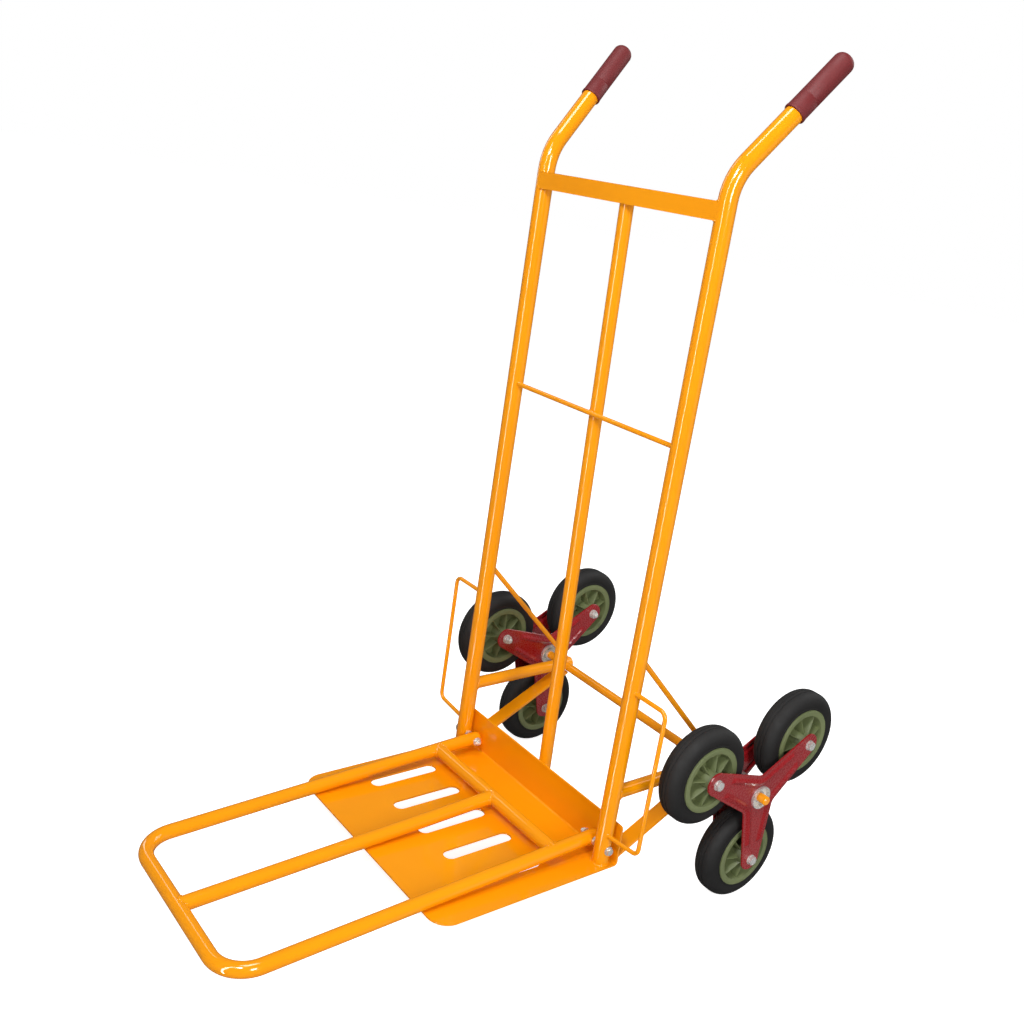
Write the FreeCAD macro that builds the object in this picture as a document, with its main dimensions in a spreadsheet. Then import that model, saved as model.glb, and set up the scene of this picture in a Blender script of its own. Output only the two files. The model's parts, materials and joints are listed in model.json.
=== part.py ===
"""Stair climbing trolley with two three-wheel clusters and a folding toe extension.

Millimetres, +Z up, +X to the trolley's right, -Y to the front, where the toe plate points.

The frame is designed in its own axes: the toe plate is level, its underside is z = 0, and the
uprights' axes cross that level at y = 0.  The stance placement then stands the whole trolley on
the floor, on the extension's front tube and the lowest wheel of each cluster, and puts the
origin under the middle of its overall box.
"""
import FreeCAD
import Part
import Sketcher
import math
import os

V = FreeCAD.Vector
X_DIR = V(1, 0, 0)
Z_DIR = V(0, 0, 1)
SIDES = (("left", -1), ("right", 1))

# Driving dimensions, in millimetres and degrees.
DIMENSIONS = {
    # uprights and handles
    "upright_diameter": 25.4,
    "upright_wall": 1.5,
    "upright_spacing": 365.0,
    "upright_lean": 1.5,
    "handle_corner_height": 979.5,
    "handle_bend_radius": 75.0,
    "handle_bend": 40.7,
    "handle_splay": 10.5,
    "handle_length": 212.0,
    "grip_start": 112.0,
    "grip_diameter": 29.0,
    "grip_collar_diameter": 31.0,
    "grip_collar_length": 5.0,
    "grip_end_wall": 7.0,
    "grip_end_flat": 12.0,
    # cross members
    "bar_height": 939.0,
    "bar_width": 24.0,
    "bar_thickness": 4.0,
    "centre_diameter": 20.0,
    "thin_wall": 1.5,
    "centre_foot_height": 12.0,
    "cross_rod_height": 636.0,
    "cross_rod_diameter": 7.0,
    # toe plate
    "plate_width": 400.0,
    "plate_front": 294.0,
    "plate_thickness": 3.0,
    "plate_corner_radius": 30.0,
    "flange_face": 16.5,
    "flange_height": 66.0,
    "flange_corner_radius": 5.0,
    "fold_radius": 3.0,
    "slot_count": 5,
    "slot_pitch": 70.0,
    "slot_width": 22.0,
    "slot_front": 201.0,
    "slot_back": 83.0,
    # axle and its supports
    "axle_diameter": 14.0,
    "axle_back": 203.5,
    "axle_height": 116.8,
    "axle_length": 603.0,
    "strut_diameter": 20.0,
    "strut_overhang": 15.0,
    "brace_width": 25.0,
    "brace_thickness": 4.0,
    "brace_foot_height": 10.0,
    "stay_diameter": 8.0,
    "stay_top_height": 336.0,
    "stay_foot_back": 8.0,
    "guard_rod_diameter": 6.5,
    "guard_reach": 255.0,
    "guard_top_height": 283.5,
    "guard_low_height": 58.0,
    "guard_foot_drop": 7.0,
    "guard_forward": 4.0,
    "guard_corner_radius": 11.0,
    "collar_diameter": 20.0,
    "collar_width": 6.5,
    "clip_width": 1.5,
    "end_play": 0.5,
    # extension
    "rail_spacing": 310.0,
    "rail_diameter": 21.0,
    "pivot_height": 28.0,
    "rail_tail": 3.5,
    "loop_reach": 572.0,
    "loop_corner_radius": 48.0,
    "loop_cross_reach": 70.0,
    "rail_clearance": 0.4,
    "rail_side_play": 0.3,
    "pivot_bolt_diameter": 6.0,
    "pivot_washer_diameter": 14.0,
    "running_clearance": 0.1,
    # clusters
    "cluster_centre": 255.5,
    "cluster_turn": 5.0,
    "arm_radius": 112.8,
    "star_thickness": 3.0,
    "star_gap": 57.0,
    "star_tip_radius": 18.0,
    "star_waist_radius": 37.0,
    "star_waist_fillet": 14.0,
    "bead_width": 11.0,
    "bead_rise": 3.5,
    "bead_inset": 10.0,
    "bead_leg": 57.0,
    "hub_tube_diameter": 36.0,
    "hub_tube_wall": 2.0,
    "hub_tube_length": 71.0,
    "hub_bush_length": 20.0,
    "hub_bush_recess": 6.0,
    "wheel_bolt_diameter": 8.0,
    "wheel_bolt_flats": 13.0,
    "wheel_bolt_head": 5.3,
    "wheel_nut_height": 8.0,
    "wheel_bolt_tip": 2.5,
    "washer_diameter": 16.0,
    "washer_thickness": 1.6,
    "sleeve_diameter": 12.0,
    # wheels
    "tyre_diameter": 150.0,
    "tyre_width": 37.0,
    "tyre_shoulder": 14.0,
    "tread_groove_width": 1.6,
    "tread_groove_depth": 1.5,
    "tread_groove_offset": 3.0,
    "rim_diameter": 102.0,
    "rim_ring_inner": 83.0,
    "rim_ring_width": 39.0,
    "rim_hub_diameter": 30.0,
    "rim_hub_length": 56.0,
    "rim_web": 4.0,
    "rim_rib_count": 8,
    "rim_rib_thickness": 1.8,
    "wheel_bush_diameter": 18.0,
    # pivot fasteners
    "pivot_bolt_flats": 10.0,
    "pivot_bolt_head": 4.0,
    "pivot_nut_height": 6.0,
}


def dim(alias):
    """The value of one driving dimension."""
    return DIMENSIONS[alias]


def make_sheet(doc):
    """Write the driving dimensions into a spreadsheet, one aliased cell each."""
    sheet = doc.addObject("Spreadsheet::Sheet", "Dims")
    for row, (alias, value) in enumerate(DIMENSIONS.items(), start=1):
        sheet.set("A%d" % row, alias)
        sheet.set("B%d" % row, str(value))
        sheet.setAlias("B%d" % row, alias)
    doc.recompute()
    return sheet


def rotation_x(degrees):
    return FreeCAD.Rotation(X_DIR, degrees)


# ---- places in the trolley's own axes ------------------------------------------------------

LEAN = rotation_x(-dim("upright_lean"))
UP_ALONG_UPRIGHT = LEAN.multVec(Z_DIR)
BACK_FROM_UPRIGHT = LEAN.multVec(V(0, 1, 0))
UPRIGHT_X = dim("upright_spacing") / 2
UPRIGHT_R = dim("upright_diameter") / 2
FLANGE_BACK = dim("flange_face") + dim("plate_thickness")
RAIL_X = dim("rail_spacing") / 2
RAIL_R = dim("rail_diameter") / 2


def on_upright(side, height):
    """The point on an upright's axis at a height above the toe plate's underside."""
    return V(side * UPRIGHT_X, height * math.tan(math.radians(dim("upright_lean"))), height)


PIVOT = V(0, on_upright(1, dim("pivot_height")).y, dim("pivot_height"))
AXLE = V(0, dim("axle_back"), dim("axle_height"))


def rail_droop():
    """How far the unfolded extension points below level: its rails rest on the plate's front."""
    run = dim("plate_front") + PIVOT.y
    drop = PIVOT.z - dim("plate_thickness")
    reach = math.hypot(run, drop)
    return math.degrees(math.atan2(drop, run)
                        - math.asin((RAIL_R + dim("rail_clearance")) / reach))


DROOP = rail_droop()
EXTENSION = FreeCAD.Placement(PIVOT, rotation_x(DROOP))


def wheel_centre(side, arm):
    """Centre of the wheel on one arm of a cluster; arm 0 points down, 1 back, 2 to the front."""
    turn = rotation_x(dim("cluster_turn") + 120 * arm)
    out = V(side * dim("cluster_centre"), 0, 0)
    return AXLE + out + turn.multVec(V(0, 0, -dim("arm_radius")))


def stance():
    """Placement that stands the trolley on its extension's front tube and its low wheels."""
    wheel = wheel_centre(1, 0)
    front = EXTENSION.multVec(V(0, -dim("loop_reach"), 0))
    span_y = wheel.y - front.y
    span_z = wheel.z - front.z
    rise = dim("tyre_diameter") / 2 - RAIL_R
    tilt = math.asin(rise / math.hypot(span_y, span_z)) - math.atan2(span_z, span_y)
    turn = rotation_x(math.degrees(tilt))
    front_y = turn.multVec(front).y - RAIL_R
    back_y = turn.multVec(wheel_centre(1, 1)).y + dim("tyre_diameter") / 2
    floor_z = turn.multVec(front).z - RAIL_R
    return FreeCAD.Placement(V(0, -(front_y + back_y) / 2, -floor_z), turn)


STANCE = stance()


# ---- building blocks -----------------------------------------------------------------------

def set_down(obj, label, local=FreeCAD.Placement()):
    """Name a finished sub-part and put it in its place on the standing trolley."""
    obj.Label = label
    obj.Placement = STANCE.multiply(local)
    SUBPARTS.append(obj)
    return obj


def bind(obj, **expressions):
    for name, expression in expressions.items():
        obj.setExpression(name, expression)


def facing(direction):
    """Rotation that turns +Z to a direction."""
    return FreeCAD.Rotation(Z_DIR, direction)


def cylinder(doc, name, start, end, radius):
    """A round bar between two points; radius is an expression on the sheet."""
    obj = doc.addObject("Part::Cylinder", name)
    along = end - start
    obj.Height = along.Length
    bind(obj, Radius=radius)
    obj.Placement = FreeCAD.Placement(start, facing(along))
    return obj


def cut(doc, name, base, *tools):
    """Cut one or more tools from a base."""
    obj = doc.addObject("Part::Cut", name)
    obj.Base = base
    obj.Tool = tools[0] if len(tools) == 1 else fuse(doc, name + "_tools", *tools)
    return obj


def fuse(doc, name, *shapes):
    obj = doc.addObject("Part::MultiFuse", name)
    obj.Shapes = list(shapes)
    return obj


def compound(doc, name, links):
    obj = doc.addObject("Part::Compound", name)
    obj.Links = list(links)
    return obj


def ring(doc, name, start, end, outer, inner):
    """A tube or washer between two points, with outer and inner radius expressions."""
    along = (end - start).normalize()
    body = cylinder(doc, name + "_outside", start, end, outer)
    bore = cylinder(doc, name + "_bore", start - along, end + along, inner)
    return cut(doc, name, body, bore)


def hexagon(doc, name, start, end, flats):
    """A hexagonal head or nut between two points; flats is the width expression."""
    obj = doc.addObject("Part::Prism", name)
    along = end - start
    obj.Polygon = 6
    obj.Height = along.Length
    bind(obj, Circumradius="%s / sqrt(3)" % flats)
    obj.Placement = FreeCAD.Placement(start, facing(along))
    return obj


def origin_feature(body, role):
    """An origin plane or axis of a body, by its role."""
    for feature in body.Origin.OriginFeatures:
        if feature.Role == role:
            return feature
    raise ValueError(role)


def new_body(doc, name):
    return doc.addObject("PartDesign::Body", name)


def new_sketch(body, name, role="XY_Plane"):
    sketch = body.newObject("Sketcher::SketchObject", name)
    sketch.AttachmentSupport = [(origin_feature(body, role), "")]
    sketch.MapMode = "FlatFace"
    return sketch


def size_constraint(sketch, kind, element, value, name, expression):
    """Add a radius or length constraint and bind it to the sheet."""
    index = sketch.addConstraint(Sketcher.Constraint(kind, element, value))
    sketch.renameConstraint(index, name)
    sketch.setExpression("Constraints." + name, expression)


def add_circle(sketch, radius, expression, name, x=0.0, y=0.0):
    """A circle whose radius is bound to the sheet."""
    element = sketch.addGeometry(Part.Circle(V(x, y, 0), Z_DIR, radius))
    centre_x = Sketcher.Constraint("DistanceX", -1, 1, element, 3, x)
    centre_y = Sketcher.Constraint("DistanceY", -1, 1, element, 3, y)
    sketch.addConstraint(centre_x)
    sketch.addConstraint(centre_y)
    size_constraint(sketch, "Radius", element, radius, name, expression)


def add_outline(sketch, points):
    """A closed outline of straight edges."""
    for start, end in zip(points, points[1:] + points[:1]):
        sketch.addGeometry(Part.LineSegment(V(*start, 0), V(*end, 0)))


def add_tube_profile(sketch, radius, outer, wall):
    """Two concentric circles: outer is a diameter's alias, wall a thickness's alias."""
    add_circle(sketch, radius, "Dims.%s / 2" % outer, "outside")
    add_circle(sketch, radius - dim(wall), "Dims.%s / 2 - Dims.%s" % (outer, wall), "inside")


def pad(body, sketch, length, midplane=False, backward=False):
    """Pad a sketch by a length expression."""
    feature = body.newObject("PartDesign::Pad", sketch.Name + "_pad")
    feature.Profile = sketch
    feature.Midplane = midplane
    feature.Reversed = backward
    bind(feature, Length=length)
    return feature


def revolve(body, sketch):
    """Turn a sketch a full circle about its horizontal axis."""
    feature = body.newObject("PartDesign::Revolution", sketch.Name + "_turned")
    feature.Profile = sketch
    feature.ReferenceAxis = (sketch, ["H_Axis"])
    feature.Angle = 360
    return feature


def round_edges(body, base, picked, radius):
    """Fillet the picked edges of a feature; picked is a test on an edge."""
    names = ["Edge%d" % number for number, edge in enumerate(base.Shape.Edges, start=1)
             if picked(edge)]
    feature = body.newObject("PartDesign::Fillet", base.Name + "_rounded")
    feature.Base = (base, names)
    bind(feature, Radius=radius)
    return feature


# ---- uprights, handles and grips -----------------------------------------------------------

def upright_path(sketch):
    """Straight leg, bend and handle, in the plane of the bend."""
    bend = math.radians(dim("handle_bend"))
    radius = dim("handle_bend_radius")
    tangent = radius * math.tan(bend / 2)
    leg = leg_length() - tangent
    handle = dim("handle_length") - tangent - dim("grip_end_wall")
    start = V(0, leg, 0)
    middle = V(radius * (1 - math.cos(bend / 2)), leg + radius * math.sin(bend / 2), 0)
    end = V(radius * (1 - math.cos(bend)), leg + radius * math.sin(bend), 0)
    tip = end + V(math.sin(bend), math.cos(bend), 0) * handle
    sketch.addGeometry(Part.LineSegment(V(0, 0, 0), start))
    sketch.addGeometry(Part.Arc(start, middle, end))
    sketch.addGeometry(Part.LineSegment(end, tip))
    size_constraint(sketch, "Radius", 1, radius, "bend_radius", "Dims.handle_bend_radius")


def foot_height():
    """Height of an upright's axis at its foot, whose low edge stands on the toe plate."""
    return dim("plate_thickness") + UPRIGHT_R * math.sin(math.radians(dim("upright_lean")))


def leg_length():
    """Length along an upright from its foot to the corner where its handle's axis starts."""
    rise = dim("handle_corner_height") - foot_height()
    return rise / math.cos(math.radians(dim("upright_lean")))


def bend_plane(side):
    """Rotation from an upright's bend plane to the trolley: leant, and splayed outward."""
    outward = FreeCAD.Rotation(Z_DIR, 90 - side * dim("handle_splay"))
    return LEAN.multiply(outward)


def handle_direction(side):
    """Unit vector along a handle, from the bend to the tip."""
    bend = math.radians(dim("handle_bend"))
    return bend_plane(side).multVec(V(math.sin(bend), 0, math.cos(bend)))


def make_upright(doc, name, side):
    body = new_body(doc, name + "_upright_tube")
    profile = new_sketch(body, name + "_upright_profile")
    add_tube_profile(profile, UPRIGHT_R, "upright_diameter", "upright_wall")
    path = new_sketch(body, name + "_upright_path", "XZ_Plane")
    upright_path(path)
    pipe = body.newObject("PartDesign::AdditivePipe", name + "_upright_pipe")
    pipe.Profile = profile
    pipe.Spine = path
    body.Placement = FreeCAD.Placement(on_upright(side, foot_height()), bend_plane(side))
    across = V(UPRIGHT_R + 1, 0, 0)
    centre = on_upright(side, dim("pivot_height"))
    bolt_hole = cylinder(doc, name + "_upright_hole", centre - across, centre + across,
                         "Dims.pivot_bolt_diameter / 2 + Dims.running_clearance")
    set_down(cut(doc, name + "_upright", body, bolt_hole), name + "_upright")


def make_grip(doc, name, side):
    """Rubber sleeve over the handle, with a raised collar and a domed end."""
    body = new_body(doc, name + "_grip_body")
    sketch = new_sketch(body, name + "_grip_section")
    bore = UPRIGHT_R
    outer = dim("grip_diameter") / 2
    collar = dim("grip_collar_diameter") / 2
    start = dim("grip_start")
    collar_end = start + dim("grip_collar_length")
    tube_end = dim("handle_length") - dim("grip_end_wall")
    tip = dim("handle_length")
    flat = dim("grip_end_flat") / 2
    rounding = outer - flat
    dome = tip - rounding
    swell = V(dome, flat, 0) + V(1, 1, 0) * (rounding * math.sqrt(0.5))
    corners = [(tip, flat), (tip, 0), (tube_end, 0), (tube_end, bore), (start, bore),
               (start, collar), (collar_end, collar), (collar_end + 1.5, outer), (dome, outer)]
    for begin, finish in zip(corners, corners[1:]):
        sketch.addGeometry(Part.LineSegment(V(*begin, 0), V(*finish, 0)))
    sketch.addGeometry(Part.Arc(V(dome, outer, 0), swell, V(tip, flat, 0)))
    revolve(body, sketch)
    along = FreeCAD.Rotation(X_DIR, handle_direction(side))
    corner = on_upright(side, dim("handle_corner_height"))
    set_down(body, name + "_grip", FreeCAD.Placement(corner, along))


# ---- cross members -------------------------------------------------------------------------

def upright_outside(doc, name, side, low, high):
    """The outer cylinder of an upright over a stretch of height, for coping other members."""
    return cylinder(doc, name, on_upright(side, low), on_upright(side, high),
                    "Dims.upright_diameter / 2")


def make_top_bar(doc):
    """Flat bar, flush with the front of the uprights and coped to them."""
    length = dim("upright_spacing")
    blank = doc.addObject("Part::Box", "top_bar_blank")
    bind(blank, Length="Dims.upright_spacing", Width="Dims.bar_thickness",
         Height="Dims.bar_width")
    middle = on_upright(0, dim("bar_height")) - BACK_FROM_UPRIGHT * UPRIGHT_R
    corner = middle - UP_ALONG_UPRIGHT * (dim("bar_width") / 2) - X_DIR * (length / 2)
    blank.Placement = FreeCAD.Placement(corner, LEAN)
    low = dim("bar_height") - dim("bar_width")
    high = dim("bar_height") + dim("bar_width")
    copes = [upright_outside(doc, "top_bar_cope_" + name, side, low, high)
             for name, side in SIDES]
    set_down(cut(doc, "top_bar", blank, *copes), "top_bar")


def centre_tube_axis():
    """Foot and top of the centre tube's axis: it touches the flange's top edge and the bar's back."""
    radius = dim("centre_diameter") / 2
    bar_back = UPRIGHT_R - dim("bar_thickness")
    on_bar = on_upright(0, dim("bar_height")) + BACK_FROM_UPRIGHT * (radius - bar_back)
    top = on_bar + UP_ALONG_UPRIGHT * (dim("bar_width") / 2 - 2)
    on_flange = V(0, FLANGE_BACK + radius, dim("flange_height"))
    drop = (on_flange.z - dim("centre_foot_height")) / (top.z - on_flange.z)
    return on_flange + (on_flange - top) * drop, top


def make_centre_tube(doc):
    foot, top = centre_tube_axis()
    outer = "Dims.centre_diameter / 2"
    tube = ring(doc, "centre_tube", foot, top, outer, outer + " - Dims.thin_wall")
    set_down(tube, "centre_tube")


def make_cross_rod(doc):
    """Rod between the uprights, touching the front of the centre tube."""
    foot, top = centre_tube_axis()
    height = dim("cross_rod_height")
    share = (height - foot.z) / (top.z - foot.z)
    tube_y = foot.y + (top.y - foot.y) * share
    rod_y = tube_y - (dim("centre_diameter") + dim("cross_rod_diameter")) / 2
    reach = X_DIR * (UPRIGHT_X - UPRIGHT_R)
    middle = V(0, rod_y, height)
    rod = cylinder(doc, "cross_rod", middle - reach, middle + reach,
                   "Dims.cross_rod_diameter / 2")
    set_down(rod, "cross_rod", rod.Placement)


# ---- toe plate -----------------------------------------------------------------------------

def plate_profile(sketch):
    """Side view of the folded sheet, front to the left."""
    thickness = dim("plate_thickness")
    inner = dim("fold_radius")
    outer = inner + thickness
    face = dim("flange_face")
    top = dim("flange_height")
    front = -dim("plate_front")
    centre = V(face - inner, thickness + inner, 0)
    diagonal = V(math.sqrt(0.5), -math.sqrt(0.5), 0)
    edges = [((front, 0), (centre.x, 0)), ((FLANGE_BACK, centre.y), (FLANGE_BACK, top)),
             ((FLANGE_BACK, top), (face, top)), ((face, top), (face, centre.y)),
             ((centre.x, thickness), (front, thickness)), ((front, thickness), (front, 0))]
    for begin, finish in edges:
        sketch.addGeometry(Part.LineSegment(V(*begin, 0), V(*finish, 0)))
    for radius in (outer, inner):
        start = centre + V(0, -radius, 0)
        sketch.addGeometry(Part.Arc(start, centre + diagonal * radius, centre + V(radius, 0, 0)))


def add_slot(sketch, x, width, front, back):
    """One slot along Y with round ends."""
    radius = width / 2
    low = front + radius
    high = back - radius
    sketch.addGeometry(Part.LineSegment(V(x + radius, low, 0), V(x + radius, high, 0)))
    sketch.addGeometry(Part.Arc(V(x + radius, high, 0), V(x, back, 0), V(x - radius, high, 0)))
    sketch.addGeometry(Part.LineSegment(V(x - radius, high, 0), V(x - radius, low, 0)))
    sketch.addGeometry(Part.Arc(V(x - radius, low, 0), V(x, front, 0), V(x + radius, low, 0)))


def make_toe_plate(doc):
    body = new_body(doc, "toe_plate_body")
    profile = new_sketch(body, "toe_plate_profile", "YZ_Plane")
    plate_profile(profile)
    sheet_metal = pad(body, profile, "Dims.plate_width", midplane=True)
    slots = new_sketch(body, "toe_plate_slots")
    count = int(dim("slot_count"))
    for number in range(count):
        x = (number - (count - 1) / 2) * dim("slot_pitch")
        add_slot(slots, x, dim("slot_width"), -dim("slot_front"), -dim("slot_back"))
    pocket = body.newObject("PartDesign::Pocket", "toe_plate_slots_cut")
    pocket.Profile = slots
    pocket.Midplane = True
    bind(pocket, Length="4 * Dims.plate_thickness")
    doc.recompute()
    if pocket.Shape.Volume >= sheet_metal.Shape.Volume:
        raise RuntimeError("the toe plate's slots cut nothing")

    def front_corner(edge):
        middle = edge.CenterOfMass
        upright = abs(edge.BoundBox.ZLength - dim("plate_thickness")) < 0.01
        return upright and edge.BoundBox.YLength < 0.01 and middle.y < 1 - dim("plate_front")

    def flange_corner(edge):
        middle = edge.CenterOfMass
        crosswise = abs(edge.BoundBox.YLength - dim("plate_thickness")) < 0.01
        return crosswise and edge.BoundBox.ZLength < 0.01 and middle.z > dim("flange_height") - 1

    rounded = round_edges(body, pocket, front_corner, "Dims.plate_corner_radius")
    doc.recompute()
    round_edges(body, rounded, flange_corner, "Dims.flange_corner_radius")
    set_down(body, "toe_plate")


# ---- struts, braces, stays and guards ------------------------------------------------------

def strut_line(side):
    """Axis of a strut: from the upright's axis straight back, past the axle."""
    start = on_upright(side, AXLE.z)
    return start, V(start.x, AXLE.y + dim("strut_overhang"), AXLE.z)


def make_strut(doc, name, side):
    """Tube coped to the upright, with the axle through its back end."""
    start, end = strut_line(side)
    outer = "Dims.strut_diameter / 2"
    tube = ring(doc, name + "_strut_tube", start, end, outer, outer + " - Dims.thin_wall")
    cope = upright_outside(doc, name + "_strut_cope", side, AXLE.z - 20, AXLE.z + 20)
    reach = V(dim("strut_diameter"), 0, 0)
    axle_at = V(side * UPRIGHT_X, AXLE.y, AXLE.z)
    hole = cylinder(doc, name + "_strut_hole", axle_at - reach, axle_at + reach,
                    "Dims.axle_diameter / 2")
    set_down(cut(doc, name + "_strut", tube, cope, hole), name + "_strut")


def make_brace(doc, name, side):
    """Flat bar from the flange's foot up to the underside of the strut's end."""
    thickness = dim("brace_thickness")
    foot = V(0, FLANGE_BACK + 2, dim("brace_foot_height"))
    strut_low = AXLE.z - dim("strut_diameter") / 2
    head = V(0, AXLE.y + 3, strut_low - thickness * 0.6)
    along = head - foot
    slope = math.degrees(math.atan2(along.z, along.y))
    bar = doc.addObject("Part::Box", name + "_brace")
    bar.Width = along.Length
    bind(bar, Length="Dims.brace_width", Height="Dims.brace_thickness")
    tilt = rotation_x(slope)
    corner = foot + V(side * UPRIGHT_X - dim("brace_width") / 2, 0, 0)
    corner = corner - tilt.multVec(V(0, 0, thickness / 2))
    set_down(bar, name + "_brace", FreeCAD.Placement(corner, tilt))


def make_stay(doc, name, side):
    """Thin rod from the upright's back down to the top of the strut's end."""
    top = on_upright(side, dim("stay_top_height"))
    strut_top = AXLE.z + dim("strut_diameter") / 2
    foot = V(side * UPRIGHT_X, AXLE.y + dim("stay_foot_back"), strut_top - 2)
    rod = cylinder(doc, name + "_stay_rod", top, foot, "Dims.stay_diameter / 2")
    cope = upright_outside(doc, name + "_stay_cope", side, top.z - 40, top.z + 40)
    start, end = strut_line(side)
    landing = cylinder(doc, name + "_stay_landing", start, end + V(0, 10, 0),
                       "Dims.strut_diameter / 2")
    set_down(cut(doc, name + "_stay", rod, cope, landing), name + "_stay")


def guard_path(sketch):
    """U of rod seen from behind the upright: x is outward, y is height along the upright."""
    reach = dim("guard_reach") - UPRIGHT_X
    radius = dim("guard_corner_radius")
    top = dim("guard_top_height")
    low = dim("guard_low_height")
    drop = math.atan2(dim("guard_foot_drop"), reach)
    low_centre = V(reach - radius, low + radius, 0)
    turn_end = low_centre + V(math.sin(drop), -math.cos(drop), 0) * radius
    run = turn_end.x / math.cos(drop)
    foot = turn_end - V(math.cos(drop), math.sin(drop), 0) * run
    half = (math.pi / 2 - drop) / 2
    top_centre = V(reach - radius, top - radius, 0)
    corner = math.sqrt(0.5) * radius
    sketch.addGeometry(Part.LineSegment(V(0, top, 0), V(top_centre.x, top, 0)))
    sketch.addGeometry(Part.Arc(V(top_centre.x, top, 0), top_centre + V(corner, corner, 0),
                                V(reach, top_centre.y, 0)))
    sketch.addGeometry(Part.LineSegment(V(reach, top_centre.y, 0), V(reach, low_centre.y, 0)))
    between = low_centre + V(math.cos(half), -math.sin(half), 0) * radius
    sketch.addGeometry(Part.Arc(V(reach, low_centre.y, 0), between, turn_end))
    sketch.addGeometry(Part.LineSegment(turn_end, foot))


def make_guard(doc, name, side):
    """Bent rod welded to the upright's front quarter, coped where it meets the tube."""
    body = new_body(doc, name + "_guard_rod")
    path = new_sketch(body, name + "_guard_path", "XZ_Plane")
    guard_path(path)
    profile = new_sketch(body, name + "_guard_profile", "YZ_Plane")
    radius = dim("guard_rod_diameter") / 2
    add_circle(profile, radius, "Dims.guard_rod_diameter / 2", "rod",
               y=dim("guard_top_height"))
    pipe = body.newObject("PartDesign::AdditivePipe", name + "_guard_pipe")
    pipe.Profile = profile
    pipe.Spine = path
    turn = LEAN if side > 0 else LEAN.multiply(FreeCAD.Rotation(Z_DIR, 180))
    foot = on_upright(side, 0) - BACK_FROM_UPRIGHT * dim("guard_forward")
    body.Placement = FreeCAD.Placement(foot, turn)
    cope = upright_outside(doc, name + "_guard_cope", side, 0, dim("guard_top_height") + 30)
    set_down(cut(doc, name + "_guard", body, cope), name + "_guard")


# ---- axle ----------------------------------------------------------------------------------

def make_axle(doc):
    half = V(dim("axle_length") / 2, 0, 0)
    axle = cylinder(doc, "axle_bar", AXLE - half, AXLE + half, "Dims.axle_diameter / 2")
    rounded = doc.addObject("Part::Chamfer", "axle")
    rounded.Base = axle
    rounded.Edges = [(1, 1.5, 1.5), (3, 1.5, 1.5)]
    set_down(rounded, "axle")


def axle_rings(doc, name, start, width, outer):
    """A ring round the axle on each side; start is its distance from the trolley's middle."""
    rings = []
    for side_name, side in SIDES:
        near = AXLE + X_DIR * (side * start)
        far = AXLE + X_DIR * (side * (start + width))
        rings.append(ring(doc, side_name + "_" + name, near, far, outer,
                          "Dims.axle_diameter / 2"))
    set_down(compound(doc, name, rings), name)


def make_axle_rings(doc):
    """Stop collars inside the clusters and retaining clips outside them."""
    bush_end = dim("hub_tube_length") / 2 - dim("hub_bush_recess")
    gap = bush_end + dim("end_play")
    axle_rings(doc, "axle_collars", dim("cluster_centre") - gap - dim("collar_width"),
               dim("collar_width"), "Dims.collar_diameter / 2")
    axle_rings(doc, "axle_clips", dim("cluster_centre") + gap, dim("clip_width"),
               "Dims.collar_diameter / 2 - 1")


# ---- pivot fasteners -----------------------------------------------------------------------

def make_pivot_fasteners(doc):
    """Bolt, nut, washers and spacer on each side, along the pivot's axis."""
    washer = dim("washer_thickness")
    outside = UPRIGHT_X + UPRIGHT_R
    inside = RAIL_X - RAIL_R
    nut_face = inside - washer
    nut_end = nut_face - dim("pivot_nut_height")
    bolts = []
    nuts = []
    washers = []
    shank = "Dims.pivot_bolt_diameter / 2"
    for name, side in SIDES:
        def at(distance):
            return PIVOT + X_DIR * (side * distance)

        head_face = outside + washer
        head = hexagon(doc, name + "_pivot_head", at(head_face),
                       at(head_face + dim("pivot_bolt_head")), "Dims.pivot_bolt_flats")
        rod = cylinder(doc, name + "_pivot_shank", at(nut_end - 2), at(head_face), shank)
        bolts.append(fuse(doc, name + "_pivot_bolt", head, rod))
        nut = hexagon(doc, name + "_pivot_nut_blank", at(nut_end), at(nut_face),
                      "Dims.pivot_bolt_flats")
        bore = cylinder(doc, name + "_pivot_nut_bore", at(nut_end - 1), at(nut_face + 1), shank)
        nuts.append(cut(doc, name + "_pivot_nut", nut, bore))
        gap = dim("rail_side_play")
        stations = ((outside, head_face), (nut_face, inside - gap),
                    (RAIL_X + RAIL_R + gap, UPRIGHT_X - UPRIGHT_R))
        for number, (near, far) in enumerate(stations):
            washers.append(ring(doc, "%s_pivot_ring_%d" % (name, number), at(near), at(far),
                                "Dims.pivot_washer_diameter / 2", shank))
    set_down(compound(doc, "pivot_bolts", bolts), "pivot_bolts")
    set_down(compound(doc, "pivot_nuts", nuts), "pivot_nuts")
    set_down(compound(doc, "pivot_washers", washers), "pivot_washers")


# ---- extension -----------------------------------------------------------------------------

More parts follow.
